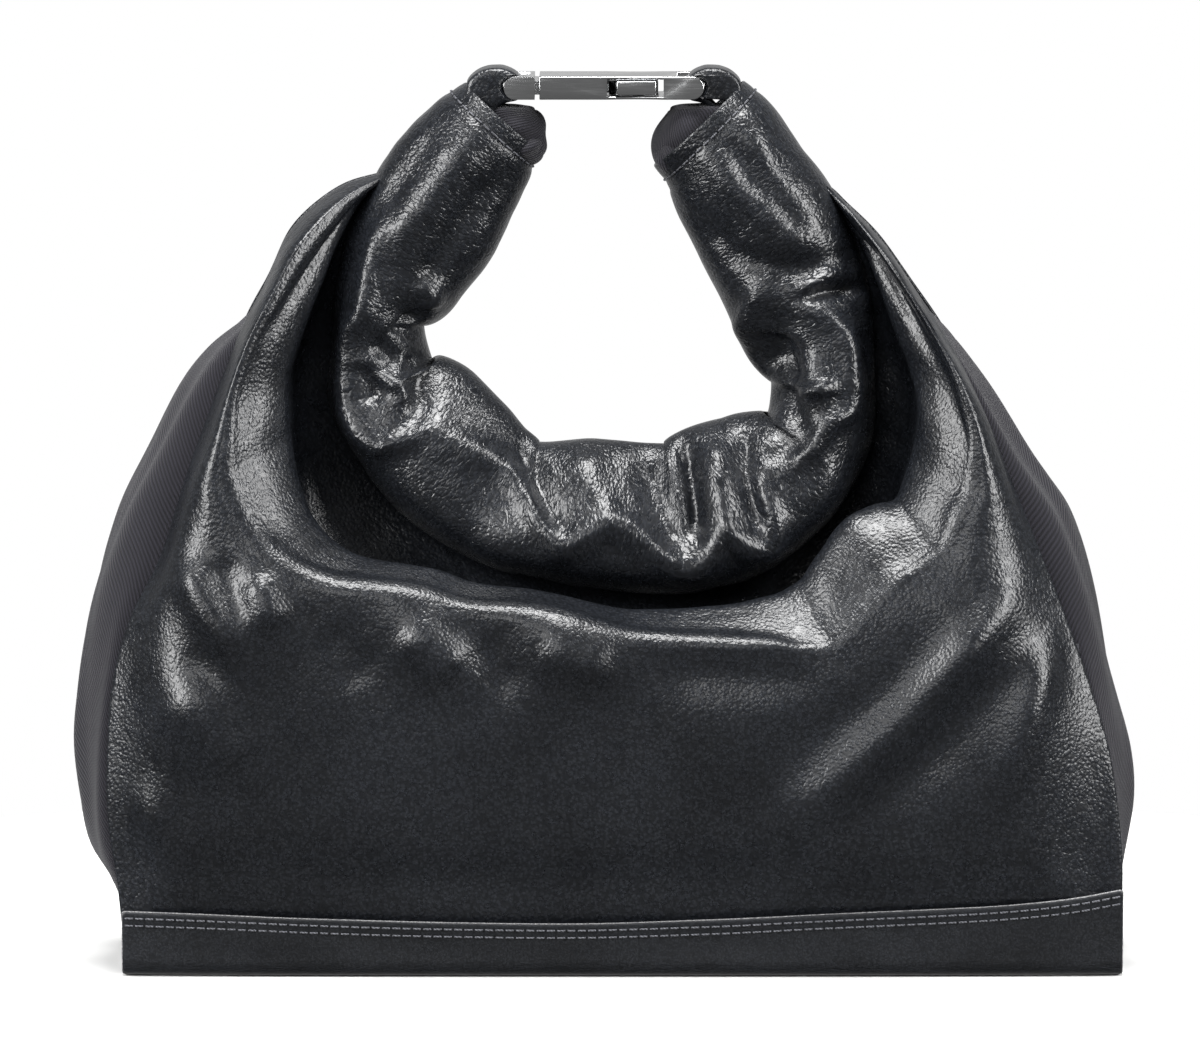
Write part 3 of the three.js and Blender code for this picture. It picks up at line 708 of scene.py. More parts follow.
def spring_steel():
    """Drawn spring wire: grey, satin, with lines along the wire."""
    material, tree, shader = material_with_shader("spring_wire", Metallic=1.0, Roughness=0.35)
    place = add(tree, "ShaderNodeTexCoord").outputs["Object"]
    lines = add(tree, "ShaderNodeTexNoise", {"Scale": 1000 / 0.5, "Detail": 3.0},
                Vector=place).outputs["Fac"]
    wire = add(tree, RAMP, {"stops": [(0.3, linear("#7d7f83")), (0.7, linear("#a9abae"))]}, Fac=lines)
    tree.links.new(wire.outputs[0], shader.inputs["Base Color"])
    satin = add(tree, RAMP, {"stops": [(0.3, 0.28), (0.7, 0.42)]}, Fac=lines)
    tree.links.new(satin.outputs[0], shader.inputs["Roughness"])
    return material


def studio_paper():
    """Matt white background paper."""
    colour = bpy.context.scene.handbag_colours.floor
    material, tree, shader = material_with_shader("white_paper", Roughness=0.95, Specular_IOR_Level=0.1)
    place = add(tree, "ShaderNodeTexCoord").outputs["Object"]
    tooth = add(tree, "ShaderNodeTexNoise", {"Scale": 8.0, "Detail": 2.0}, Vector=place)
    paper = add(tree, RAMP, {"stops": [(0.3, shade(colour, 0.99)), (0.7, shade(colour, 1.0))]},
                Fac=tooth.outputs["Fac"])
    tree.links.new(paper.outputs[0], shader.inputs["Base Color"])
    return material


made = {}


def finish_of(maker):
    """The material that a maker gives, made the first time it is asked for."""
    if maker not in made:
        made[maker] = maker()
    return made[maker]


# --- Body leather ---


def section_points(stations, face_rows=44, fold_rows=9, inner_rows=16):
    """The leather body in front: from the seam over the lip and down behind it to the roll's middle."""
    outer = follow(OUTER_EDGE, stations)
    lip = follow(LIP, stations)
    crest, depth, radius, climb = lip[:, :2], lip[:, 2], lip[:, 3], lip[:, 4]
    seat = follow(ROLL_SEAT, stations)
    seam = follow(SEAM_DEPTH, outer[:, 1])[:, 0]
    toward = unit(crest - outer)
    reach = np.linalg.norm(crest - outer, axis=1)
    radius = np.minimum(radius, reach * 0.45)
    start = crest - toward * radius[:, None]
    at_side = across_ends(stations)

    v = np.linspace(0, 1, face_rows)
    plan = outer[:, None] + (start - outer)[:, None] * v[None, :, None]
    round_up = 1 - (1 - v) ** 2.0
    rise = at_side[:, None] * round_up + (1 - at_side[:, None]) * v
    belly = 4 * v * (1 - v) * ease(0, 0.35, v) * np.minimum(7, reach * 0.06)[:, None]
    face_y = -(seam[:, None] + (depth - seam)[:, None] * rise + belly)
    face = np.concatenate([plan[..., :1], face_y[..., None], plan[..., 1:]], axis=-1)

    turned = math.pi / 2 - math.pi / 4 * ease(7, 20, climb)
    turn = np.linspace(0, 1, fold_rows + 1)[1:] * turned[:, None]
    along = start[:, None] + toward[:, None] * (radius[:, None] * np.sin(turn))[..., None]
    fold_y = -depth[:, None] + radius[:, None] * (1 - np.cos(turn))
    fold = np.concatenate([along[..., :1], fold_y[..., None], along[..., 1:]], axis=-1)

    over, over_y = along[:, -1], fold_y[:, -1]
    back_y = -depth + radius
    span = ROLL_SEAT_DEPTH - back_y
    inward = unit(seat - crest)
    top, top_y = crest + inward * climb[:, None], back_y + span * 0.26
    dive = np.minimum(26, reach * 0.3) * (1 - ease(0.66, 0.8, stations)) * ease(0.2, 0.36, stations)
    marks = np.stack([
        np.column_stack([over, over_y]),
        np.column_stack([over + (top - over) * 0.55, over_y + (top_y - over_y) * 0.42]),
        np.column_stack([top, top_y]),
        np.column_stack([crest + inward * (climb - dive * 0.6)[:, None], back_y + span * 0.52]),
        np.column_stack([crest + (seat - crest) * 0.45 - inward * (dive * 0.6)[:, None],
                         back_y + span * 0.74]),
        np.column_stack([seat, np.full(len(stations), ROLL_SEAT_DEPTH)]),
    ], axis=1)
    t = np.linspace(0, marks.shape[1] - 1, inner_rows + 1)[1:]
    i = np.minimum(t.astype(int), marks.shape[1] - 2)
    f = (t - i)[None, :, None]
    slopes = np.gradient(marks, axis=1)
    leaving = np.column_stack([unit(toward + inward * 1.5) * np.cos(turned)[:, None], np.sin(turned)])
    slopes[:, 0] = leaving * np.linalg.norm(marks[:, 1] - marks[:, 0], axis=1)[:, None] * 0.9
    inner = join(f, marks[:, i], marks[:, i + 1], slopes[:, i], slopes[:, i + 1])
    inner = np.stack([inner[..., 0], inner[..., 2], inner[..., 1]], axis=-1)
    return np.concatenate([face, fold, inner], axis=1)


def front_body(stations):
    points = section_points(stations)
    x, y, z = points[..., 0], points[..., 1], points[..., 2]
    normals = grid_normals(points)
    if normals[len(stations) // 2, 20, 1] > 0:
        normals = -normals
    rows = np.arange(points.shape[1])[None, :]
    shown = (1 - ease(50, 60, rows)) * ease(0, 8, rows)
    lift = fold_height(x, z, BODY_FOLDS) * shown
    lift += (ripple(x, y, z, 60, 3) * 0.9 * ease(0, 10, rows)
             + ripple(x, y, z, 24, 5) * 0.25 * ease(0, 6, rows))
    return points + normals * steady(lift, 3)[..., None]


# Heights, and how far the back leather stands behind the bag's middle there
BACK_FULLNESS = [0, 34, 90, 130, 170, 200, 230, 260, 310], [51, 55, 65, 62, 48, 41, 37, 33, 22]


def back_body(stations, rows=52):
    outer = follow(OUTER_EDGE, stations)
    edge = follow(BACK_EDGE, stations)
    seam = follow(SEAM_DEPTH, outer[:, 1])[:, 0]
    at_side = across_ends(stations)
    v = np.linspace(0, 1, rows)[None, :]
    plan = outer[:, None] + (edge[:, :2] - outer)[:, None] * v[..., None]
    height = plan[..., 1]
    full = np.interp(height, *BACK_FULLNESS)
    rise = at_side[:, None] * (1 - (1 - v) ** 2.2) + (1 - at_side[:, None]) * (1 - (1 - v) ** 5)
    depth = seam[:, None] + (full - seam[:, None]) * rise
    depth = depth + (edge[:, 2:3] - depth) * ease(0.82, 1.0, v)
    points = np.concatenate([plan[..., :1], depth[..., None], plan[..., 1:]], axis=-1)
    normals = grid_normals(points)
    if normals[len(stations) // 2, 20, 1] < 0:
        normals = -normals
    x, y, z = points[..., 0], points[..., 1], points[..., 2]
    steps = np.arange(rows)[None, :]
    lift = (ripple(x, y, z, 75, 11) * 1.8 * ease(0, 10, steps)
            + ripple(x, y, z, 28, 12) * 0.4 * ease(0, 8, steps))
    mirrored = [(rise_mm, w, [(-px, pz) for px, pz in line]) for rise_mm, w, line in BODY_FOLDS[:9]]
    lift += 0.7 * fold_height(x, z, mirrored) * ease(4, 14, steps)
    return points + normals * steady(lift, 2)[..., None]


class HANDBAG_OT_front_leather(bpy.types.Operator):
    """Makes the front leather with its hanging lip, in two halves"""
    bl_idname = "handbag.front_leather"
    bl_label = "Front leather"

    def execute(self, context):
        sizes = context.scene.handbag_sizes
        points = front_body(np.linspace(0, 1, 2 * sizes.body_columns))
        whole = sheet_mesh("front_leather", points, outward=(0, -1, 0))
        dress(whole, finish_of(body_leather), "leather")
        thicken(whole, sizes.leather_thickness)
        for half, side in cut_in_halves(smooth_out(whole)):
            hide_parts("front_panel")
            swing(half, side)
        return {"FINISHED"}


class HANDBAG_OT_back_leather(bpy.types.Operator):
    """Makes the back leather up to the rolled mouth, in two halves"""
    bl_idname = "handbag.back_leather"
    bl_label = "Back leather"

    def execute(self, context):
        sizes = context.scene.handbag_sizes
        points = back_body(np.linspace(0, 1, 2 * sizes.body_columns))
        whole = sheet_mesh("back_leather", points, outward=(0, 1, 0))
        dress(whole, finish_of(body_leather), "leather")
        thicken(whole, sizes.leather_thickness)
        for half, side in cut_in_halves(smooth_out(whole)):
            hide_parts("back_panel")
            swing(half, side)
        return {"FINISHED"}


# --- Twill sides ---


def gusset_points(side, columns=34, rows=90):
    """One twill side from the front seam to the back seam: swelling out low down, folded in above."""
    sign = -1 if side == "left" else 1
    first, last = (0.035, 0.372) if side == "left" else (0.965, 0.628)
    stations = np.linspace(last, first, rows)
    outer = follow(OUTER_EDGE, stations)
    height = outer[:, 1] - 7 * (1 - ease(10, 40, outer[:, 1]))
    seam_x = outer[:, 0] - sign * (3.0 - 1.6 * ease(255, 285, height))
    depth = follow(SEAM_DEPTH, outer[:, 1])[:, 0] - 1.5
    swell = follow(TWILL_SWELL, height)[:, 0 if side == "left" else 1]
    tuck = seam_x - sign * (2.0 - 1.2 * ease(255, 285, height))
    target = swell + (tuck - swell) * ease(236, 262, height)
    w = np.linspace(0, 1, columns)[None, :]
    halfway, ahead = np.sin(math.pi * w), np.cos(math.pi * w)
    x = seam_x[:, None] + (target - seam_x)[:, None] * halfway ** 0.55
    y = -depth[:, None] * ahead * (0.92 + 0.08 * np.abs(ahead))
    z = np.repeat(height[:, None], columns, axis=1)
    points = np.stack([x, y, z], axis=-1)
    # long soft folds that run up the side, and one sharper fold
    tall = height[:, None]
    above_foot = ease(20, 70, tall)
    crest = np.sin(w * math.pi * 5 + tall / 38 + (0 if side == "left" else 1.2))
    pleat = crest * 2.4 * halfway ** 0.7 * above_foot * (1 - ease(215, 260, tall))
    run_of_fold = 0.33 + 0.0009 * (tall - 90)
    sharp = 3.2 * np.exp(-((w - run_of_fold) / 0.035) ** 2)
    pleat = pleat + sharp * ease(30, 90, tall) * (1 - ease(180, 240, tall))
    points[..., 0] += sign * (pleat - 2.0 * halfway * above_foot)
    return points


class HANDBAG_OT_twill_sides(bpy.types.Operator):
    """Makes the two twill sides"""
    bl_idname = "handbag.twill_sides"
    bl_label = "Twill sides"

    def execute(self, context):
        sizes = context.scene.handbag_sizes
        for side, outward in (("left", (-1, 0, 0)), ("right", (1, 0, 0))):
            points = gusset_points(side)
            piece = sheet_mesh(f"{side}_twill_side", points, outward=outward, uv=surface_uv(points))
            dress(piece, finish_of(cotton_twill), "twill")
            thicken(piece, sizes.twill_thickness)
            smooth_out(piece)
            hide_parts(f"{side}_gusset")
            swing(piece, side)
        return {"FINISHED"}


# --- Base band ---

BAND_LEFT, BAND_RIGHT = -183.0, 197.0
BAND_TOP = [
    (-183, 25.2), (-150, 24.2), (-110, 22.6), (-60, 21.2), (-17, 20.7), (40, 22.2), (82, 24.3),
    (120, 26.0), (150, 27.6), (175, 30.0), (197, 33.8),
]
BAND_CORNER = 7.0


def band_depth(x, z):
    """Half depth of the band's outer face: a little proud of the leather under it."""
    side = np.clip(np.abs((x - BASE_MIDDLE_X) / BASE_HALF_WIDTH), 0, 1)
    return np.interp(z, [0, 10, 40], [56.5, 57.5, 61.5]) - 3.0 * side ** 4


def band_points(columns=150):
    """The band from its front edge, round under the bag and up to its back edge."""
    x = np.linspace(BAND_LEFT, BAND_RIGHT, columns)
    top = follow(BAND_TOP, x)[:, 0]
    rows = []
    for share in np.linspace(0, 1, 12):
        z = top + (BAND_CORNER - top) * share
        rows.append((-band_depth(x, z), z))
    foot = band_depth(x, BAND_CORNER)
    for turn in np.linspace(0, math.pi / 2, 9)[1:]:
        rows.append((-(foot - BAND_CORNER + BAND_CORNER * math.cos(turn)),
                     BAND_CORNER * (1 - math.sin(turn)) + 0 * x))
    middle = [(-(foot - BAND_CORNER) * share, 0 * x) for share in np.linspace(1, -1, 13)[1:-1]]
    back = [(-y, z) for y, z in reversed(rows)]
    return np.stack([np.stack([x, y, z], axis=-1) for y, z in rows + middle + back], axis=1)


class HANDBAG_OT_base_band(bpy.types.Operator):
    """Makes the leather base band with its raw upper edges"""
    bl_idname = "handbag.base_band"
    bl_label = "Base band"

    def execute(self, context):
        sizes = context.scene.handbag_sizes
        points = band_points()
        wave = ripple(points[..., 0], points[..., 1] * 0, points[..., 2], 55, 21) * 0.5
        points[..., 1] += np.sign(points[..., 1]) * wave * ease(4, 14, points[..., 2])
        band = sheet_mesh("base_band_leather", points, outward=(0, 0, -1), uv=surface_uv(points))
        dress(band, finish_of(band_leather), "leather")
        band.data.materials.append(finish_of(cut_edge))
        thicken(band, sizes.band_thickness).material_offset_rim = 1
        smooth_out(band)
        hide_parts("base_band")
        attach(band, "bag")
        return {"FINISHED"}


# --- Rolled mouth ---


def roll_frames(rings):
    """Evenly spaced middles of the roll, with its half widths, depths and directions."""
    line = np.asarray(ROLL_LINE, float)
    run = np.concatenate([[0], np.cumsum(np.linalg.norm(np.diff(line[:, :2], axis=0), axis=1))])
    at = np.linspace(0, run[-1], rings)
    values = follow(np.column_stack([run, line]), at)
    tangent = unit(np.gradient(values[:, :2], axis=0))
    tangent = np.stack([steady(tangent[:, i:i + 1], 6)[:, 0] for i in range(2)], axis=1)
    return at, values, unit(tangent)


def roll_points(rings, sides=ROLL_SIDES):
    at, values, tangent = roll_frames(rings)
    inner = np.stack([-tangent[:, 1], tangent[:, 0]], axis=1)
    angle = np.linspace(0, 2 * math.pi, sides, endpoint=False)[None, :]
    sagging = ease(0.35, 0.9, inner[:, 1:2])     # along the bottom the roll's weight gathers low down
    across = np.cos(angle) * values[:, 2:3]
    ahead = np.sin(angle - 0.48 * sagging * np.sin(angle))
    ahead = np.sign(ahead) * np.abs(ahead) ** 0.92 * values[:, 3:4]
    x = values[:, 0:1] + inner[:, 0:1] * across
    z = values[:, 1:2] + inner[:, 1:2] * across
    y = values[:, 4:5] - ahead
    points = np.stack([x, y, z], axis=-1)
    normals = -grid_normals(points, closed=True)
    middle = points.mean(axis=1, keepdims=True)
    if np.sum((points - middle) * normals) < 0:
        normals = -normals
    ends = ease(0, 10, at)[:, None] * (1 - ease(at[-1] - 10, at[-1], at)[:, None])
    front = ease(0.0, 0.45, np.sin(angle))
    lift = fold_height(x, z, ROLL_FOLDS) * front * ends
    mirrored = [(0.7 * rise, w * 1.3, line) for rise, w, line in ROLL_FOLDS[10:17]]
    lift += fold_height(x, z, mirrored) * ease(0.0, 0.45, -np.sin(angle))
    bend = np.sum(np.gradient(tangent, at, axis=0) * inner, axis=1)[:, None]
    lift *= np.clip(1 - 1.15 * bend * across, 0.12, 1.0)     # little room for folds inside a tight bend
    from_end = np.minimum(at, at[-1] - at)[:, None]
    # drawn in under the row of stitches
    lift -= 0.55 * np.exp(-((from_end - END_STITCH) / 1.4) ** 2)
    lift += (ripple(x, y, z, 42, 8) * 0.7 + ripple(x, y, z, 15, 9) * 0.15) * (0.3 + 0.7 * ends)
    return at, points + normals * steady(lift, 2, closed=True)[..., None]


# The rim of an arm and the way down into it: how far the ring shrinks, and how deep it lies
RIM_STEPS = [(0.985, -0.4), (0.955, -0.5), (0.925, 0.2), (0.91, 2.5), (0.90, 7),
             (0.88, 12), (0.6, 13), (0.3, 13.5), (0.05, 13.7)]


def rolled_end(points, at_start):
    """Turns the last ring in over a rim 1.8 mm thick and closes it a little way down."""
    ring = points[0] if at_start else points[-1]
    before = points[3] if at_start else points[-4]
    outward = unit((ring.mean(axis=0) - before.mean(axis=0))[None])[0]
    middle = ring.mean(axis=0)
    extra = []
    for shrink, down in RIM_STEPS:
        extra.append(middle + (ring - middle) * shrink - outward * down)
    extra = np.stack(extra)
    return np.concatenate([extra[::-1], points]) if at_start else np.concatenate([points, extra])


class HANDBAG_OT_rolled_mouth(bpy.types.Operator):
    """Makes the rolled mouth and its two arms, in two halves"""
    bl_idname = "handbag.rolled_mouth"
    bl_label = "Rolled mouth"

    def execute(self, context):
        sizes = context.scene.handbag_sizes
        at, points = roll_points(2 * sizes.roll_rings)
        points = rolled_end(rolled_end(points, True), False)
        extra = (len(points) - len(at)) // 2
        along = np.concatenate([at[0] - np.arange(extra, 0, -1), at, at[-1] + np.arange(1, extra + 1)])
        girth = ROLL_GIRTH * np.linspace(0, 1, ROLL_SIDES + 1)
        uv = np.stack(np.meshgrid(along, girth, indexing="ij"), axis=-1) * MM
        whole = sheet_mesh("rolled_mouth", points, closed=True, uv=uv)
        close_up(whole)
        dress(whole, finish_of(roll_leather), "leather")
        for half, side in cut_in_halves(smooth_out(whole)):
            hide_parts(f"{side}_arm", *(["mouth_roll"] if side == "left" else []))
            swing(half, side)
        return {"FINISHED"}


# --- Strap tabs and twill folds at the arms' ends ---

# Side view of each leather tab: it leaves the arm's end and turns round the buckle's bar
TAB_OUTLINE = [
    (52, 318), (53, 328), (52.2, 336.2), (49.8, 339.4), (46.5, 341.4), (43, 342.3), (39.5, 342.4),
    (35.8, 341.4), (32.6, 339.3), (30.8, 336), (30.9, 332.6), (33, 330), (37, 329), (41, 326),
    (42, 318),
]
TAB_WIDTH = 24.8
BAR_PLACE = (35.6, 335.0)
BAR_HOLE = 2.9
TAB_EDGE = 2.2           # rounding of the tab's edges


class HANDBAG_OT_strap_tabs(bpy.types.Operator):
    """Makes the leather tabs that hold the buckle's bars"""
    bl_idname = "handbag.strap_tabs"
    bl_label = "Strap tabs"

    def execute(self, context):
        for side, sign in (("left", -1), ("right", 1)):
            curve = bpy.data.curves.new(f"{side}_strap_tab", "CURVE")
            curve.dimensions = "2D"
            curve.fill_mode = "BOTH"
            curve.extrude = (TAB_WIDTH / 2 - TAB_EDGE) * MM
            curve.bevel_depth = TAB_EDGE * MM
            curve.bevel_resolution = 3
            curve.offset = -TAB_EDGE * MM
            around = np.linspace(0, 2 * math.pi, 24, endpoint=False)
            hole = [(BAR_PLACE[0] + BAR_HOLE * math.cos(a), BAR_PLACE[1] + BAR_HOLE * math.sin(a))
                    for a in around]
            loop = TAB_OUTLINE + TAB_OUTLINE[:1]
            for outline in (smooth_line(loop, 72)[:-1], hole):
                spline = curve.splines.new("POLY")
                spline.points.add(len(outline) - 1)
                spline.use_cyclic_u = True
                for point, (x, z) in zip(spline.points, outline):
                    point.co = (sign * x * MM, z * MM, 0, 1)
            shape = new_object("tab_outline", curve)
            graph = context.evaluated_depsgraph_get()
            mesh = bpy.data.meshes.new_from_object(shape.evaluated_get(graph))
            bpy.data.objects.remove(shape)
            with edited(mesh) as work:
                bmesh.ops.remove_doubles(work, verts=work.verts, dist=WELD)
                for vert in work.verts:
                    vert.co = (vert.co.x, -vert.co.z, vert.co.y)
                bmesh.ops.recalc_face_normals(work, faces=work.faces)
            mesh.shade_smooth()
            piece = new_object(f"{side}_strap_tab", mesh)
            dress(piece, finish_of(body_leather), "leather")
            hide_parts(f"{side}_strap")
            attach(piece, f"{side}_side")
        return {"FINISHED"}


def smooth_line(points, count):
    """Evenly spaced points on a smooth line through the given ones."""
    points = np.asarray(points, float)
    run = np.concatenate([[0], np.cumsum(np.linalg.norm(np.diff(points, axis=0), axis=1))])
    return follow(np.column_stack([run, points]), np.linspace(0, run[-1], count))


# Rounded pads of folded twill at each arm's end: middle x, height, depth, and their half sizes
# along the arm, across it and in depth
TWILL_PADS = {
    "left": [(-34.5, 318.5, -2, 11.5, 15, 15), (-29.5, 312, -5, 7, 7, 11)],
    "right": [(33.5, 318.5, -2, 11.5, 18, 16), (26.5, 308, -5, 7.5, 7, 11)],
}
ARM_END_TILT = {"left": math.radians(42.5), "right": math.radians(140)}


def pad_points(middle, sizes, tilt, rows=28, columns=40, seed=1):
    """A stuffed fold of cloth: a flattened ball with pleats that run across the arm."""
    polar = np.linspace(0.06, math.pi - 0.06, rows)[:, None]
    round_angle = np.linspace(0, 2 * math.pi, columns, endpoint=False)[None, :]
    along = np.cos(polar) * np.ones_like(round_angle)
    across = np.sin(polar) * np.cos(round_angle)
    deep = np.sin(polar) * np.sin(round_angle)
    puff = 1 + 0.05 * np.sin(7 * across + 3 * along + seed) + 0.04 * np.sin(5 * round_angle + 2 * seed)
    along, across, deep = (along * sizes[0] * puff, across * sizes[1] * puff, deep * sizes[2] * puff)
    x = middle[0] + along * math.cos(tilt) - across * math.sin(tilt)
    z = middle[1] + along * math.sin(tilt) + across * math.cos(tilt)
    z = np.where(z > BUCKLE_ROOM, BUCKLE_ROOM + (z - BUCKLE_ROOM) * 0.2, z)
    return np.stack([x, middle[2] + deep, z], axis=-1)


class HANDBAG_OT_twill_folds(bpy.types.Operator):
    """Makes the folded twill that shows in the ends of the arms"""
    bl_idname = "handbag.twill_folds"
    bl_label = "Twill folds"

    def execute(self, context):
        for side in ("left", "right"):
            for number, pad in enumerate(TWILL_PADS[side], start=1):
                points = pad_points(pad[:3], pad[3:], ARM_END_TILT[side], seed=number)
                uv = surface_uv(np.concatenate([points, points[:, :1]], axis=1))
                piece = sheet_mesh(f"{side}_twill_fold_{number}", points, closed=True, uv=uv)
                dress(close_up(piece), finish_of(cotton_twill), "twill")
                smooth_out(piece)
                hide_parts(f"{side}_fold")
                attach(piece, f"{side}_side")
        return {"FINISHED"}


# --- Lining ---


def lining_points(front, low=12.0, high=126.0, left=-172.0, right=180.0, stand=8.0,
                  columns=60, rows=28):
    """Cotton hung inside one wall of the bag."""
    z = np.linspace(low, high, rows)[None, :]
    x = np.linspace(left, right, columns)[:, None]
    side = np.clip(np.abs((x - 6) / 190), 0, 1)
    depth = np.interp(z, [0, 60, 130], [54, 56, 58]) - 7 * side ** 3 - stand
    depth = depth + 1.2 * np.sin(x / 17 + z / 40) * ease(low, low + 30, z)
    y = (-1 if front else 1) * depth
    return np.stack([x + 0 * z, y + 0 * x, z + 0 * x], axis=-1)


class HANDBAG_OT_lining(bpy.types.Operator):
    """Makes the cotton lining and its flat pocket"""
    bl_idname = "handbag.lining"
    bl_label = "Lining"

    def execute(self, context):
        layers = (
            ("front_cotton_lining", "front_lining", lining_points(True), (0, 1, 0)),
            ("back_cotton_lining", "back_lining", lining_points(False), (0, -1, 0)),
            ("cotton_pocket", "inner_pocket", lining_points(False, 40, 112, -70, 70, 11.5, 30, 20),
             (0, -1, 0)),
        )
        for name, node, points, outward in layers:
            piece = sheet_mesh(name, points, outward=outward, uv=surface_uv(points))
            dress(piece, finish_of(lining_cotton), "lining")
            thicken(piece, context.scene.handbag_sizes.lining_thickness)
            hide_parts(node)
            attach(piece, "bag")
        return {"FINISHED"}


# --- Stitches ---


def stitch_tree():
    """Geometry Nodes: places a short bent stitch at every pitch along a line."""
    tree = bpy.data.node_groups.new("stitch_row", "GeometryNodeTree")
    interface = tree.interface
    interface.new_socket("Geometry", in_out="INPUT", socket_type="NodeSocketGeometry")
    interface.new_socket("Geometry", in_out="OUTPUT", socket_type="NodeSocketGeometry")
    for name, default in (("Pitch", 3.9 * MM), ("Length", 2.9 * MM), ("Radius", 0.38 * MM)):
        socket = interface.new_socket(name, in_out="INPUT", socket_type="NodeSocketFloat")
        socket.default_value = default
    interface.new_socket("Thread", in_out="INPUT", socket_type="NodeSocketMaterial")
    source = add(tree, "NodeGroupInput")
    line = add(tree, "GeometryNodeMeshToCurve", {}, Mesh=source.outputs["Geometry"])
    places = add(tree, "GeometryNodeCurveToPoints", {"mode": "LENGTH"},
                 Curve=line.outputs[0], Length=source.outputs["Pitch"])
    bow = {"Start Angle": math.radians(40), "Sweep Angle": math.radians(100)}
    arc = add(tree, "GeometryNodeCurveArc", {"mode": "RADIUS", "Resolution": 7, "Radius": 1.0, **bow})
    wide = add(tree, "ShaderNodeMath", {"operation": "MULTIPLY", 1: 0.65}, _0=source.outputs["Length"])
    size = add(tree, "ShaderNodeCombineXYZ", {},
               X=wide.outputs[0], Y=source.outputs["Radius"], Z=wide.outputs[0])
    lowered = add(tree, "GeometryNodeTransform", {"Translation": (0, -0.72, 0)},
                  Geometry=arc.outputs[0])
    scaled = add(tree, "GeometryNodeTransform", {}, Geometry=lowered.outputs[0], Scale=size.outputs[0])
    ring = add(tree, "GeometryNodeCurvePrimitiveCircle", {"Resolution": 6},
               Radius=source.outputs["Radius"])
    stitch = add(tree, "GeometryNodeCurveToMesh", {"Fill Caps": True},
                 Curve=scaled.outputs[0], Profile_Curve=ring.outputs[0])
    stitch_rounded = add(tree, "GeometryNodeSetShadeSmooth", {}, Geometry=stitch.outputs[0])
    turned = add(tree, "FunctionNodeAxesToRotation", {"primary_axis": "X", "secondary_axis": "Y"})
    tree.links.new(places.outputs["Tangent"], turned.inputs[0])
    facing = add(tree, "GeometryNodeInputNamedAttribute",
                 {"data_type": "FLOAT_VECTOR", "Name": "facing"})
    tree.links.new(facing.outputs[0], turned.inputs[1])
    placed = add(tree, "GeometryNodeInstanceOnPoints", {}, Points=places.outputs[0],
                 Instance=stitch_rounded.outputs[0], Rotation=turned.outputs[0])
    solid = add(tree, "GeometryNodeRealizeInstances", {}, Geometry=placed.outputs[0])
    finish = add(tree, "GeometryNodeSetMaterial", {},
                 Geometry=solid.outputs[0], Material=source.outputs["Thread"])
    add(tree, "NodeGroupOutput", {}, Geometry=finish.outputs[0])
    return tree


def stitched(name, lines, facings):
    """One mesh with stitches along each line of points in millimetres, facing the given ways."""
    sizes = bpy.context.scene.handbag_sizes
    verts, edges, normals = [], [], []
    for line, facing in zip(lines, facings):
        base = len(verts)
        verts.extend((np.asarray(line) * MM).tolist())
        normals.extend(np.asarray(facing).tolist())
        edges.extend((base + i, base + i + 1) for i in range(len(line) - 1))
    mesh = bpy.data.meshes.new(name)
    mesh.from_pydata(verts, edges, [])
    attribute = mesh.attributes.new("facing", "FLOAT_VECTOR", "POINT")
    attribute.data.foreach_set("vector", np.asarray(normals, np.float32).ravel())
    guide = new_object(name + "_guide", mesh)
    modifier = guide.modifiers.new("stitches", "NODES")
    modifier.node_group = bpy.data.node_groups.get("stitch_row") or stitch_tree()
    values = {"Pitch": sizes.stitch_pitch, "Length": sizes.stitch_length, "Radius": sizes.thread_radius,
              "Thread": finish_of(bonded_thread)}
    for socket in modifier.node_group.interface.items_tree:
        if socket.item_type == "SOCKET" and socket.in_out == "INPUT" and socket.name in values:
            modifier[socket.identifier] = values[socket.name]
    graph = bpy.context.evaluated_depsgraph_get()
    result = bpy.data.meshes.new_from_object(guide.evaluated_get(graph))
    bpy.data.objects.remove(guide)
    if not result.polygons:
        raise RuntimeError(f"{name}: no stitches were made")
    result.name = name
    piece = new_object(name, result)
    for leftover in [a.name for a in result.attributes if a.name in ("facing", "tangent")]:
        result.attributes.remove(result.attributes[leftover])
    dress(piece, finish_of(bonded_thread), "leather")
    return piece


def band_stitch_lines():
    """Two rows under each upper edge of the base band, in front and behind."""
    lines, facings = [], []
    for sign in (-1, 1):
        for below in (2.6, 5.4):
            x = np.linspace(BAND_LEFT + 3, BAND_RIGHT - 3, 260)
            z = follow(BAND_TOP, x)[:, 0] - below
            y = sign * (band_depth(x, z) + 0.5)
            lines.append(np.column_stack([x, y, z]))
            facings.append(np.tile((0.0, float(sign), 0.05), (len(x), 1)))
    return lines, facings


def roll_end_stitch_line(side):
    """One row round an arm, a little way from its edge."""
    sizes = bpy.context.scene.handbag_sizes
    at, points = roll_points(2 * sizes.roll_rings)
    distance = at if side == "left" else at[-1] - at
    ring = points[int(np.argmin(np.abs(distance - END_STITCH)))]
    middle = ring.mean(axis=0)
    facing = unit(ring - middle)
    line = ring + facing * 0.3
    return [np.concatenate([line, line[:1]])], [np.concatenate([facing, facing[:1]])]


class HANDBAG_OT_stitches(bpy.types.Operator):
    """Makes the stitches on the base band and round the arms' ends"""
    bl_idname = "handbag.stitches"
    bl_label = "Stitches"

    def execute(self, context):
        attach(stitched("base_band_stitches", *band_stitch_lines()), "bag")
        for side in ("left", "right"):
            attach(stitched(f"{side}_arm_stitches", *roll_end_stitch_line(side)), f"{side}_side")
        return {"FINISHED"}


# --- Buckle ---


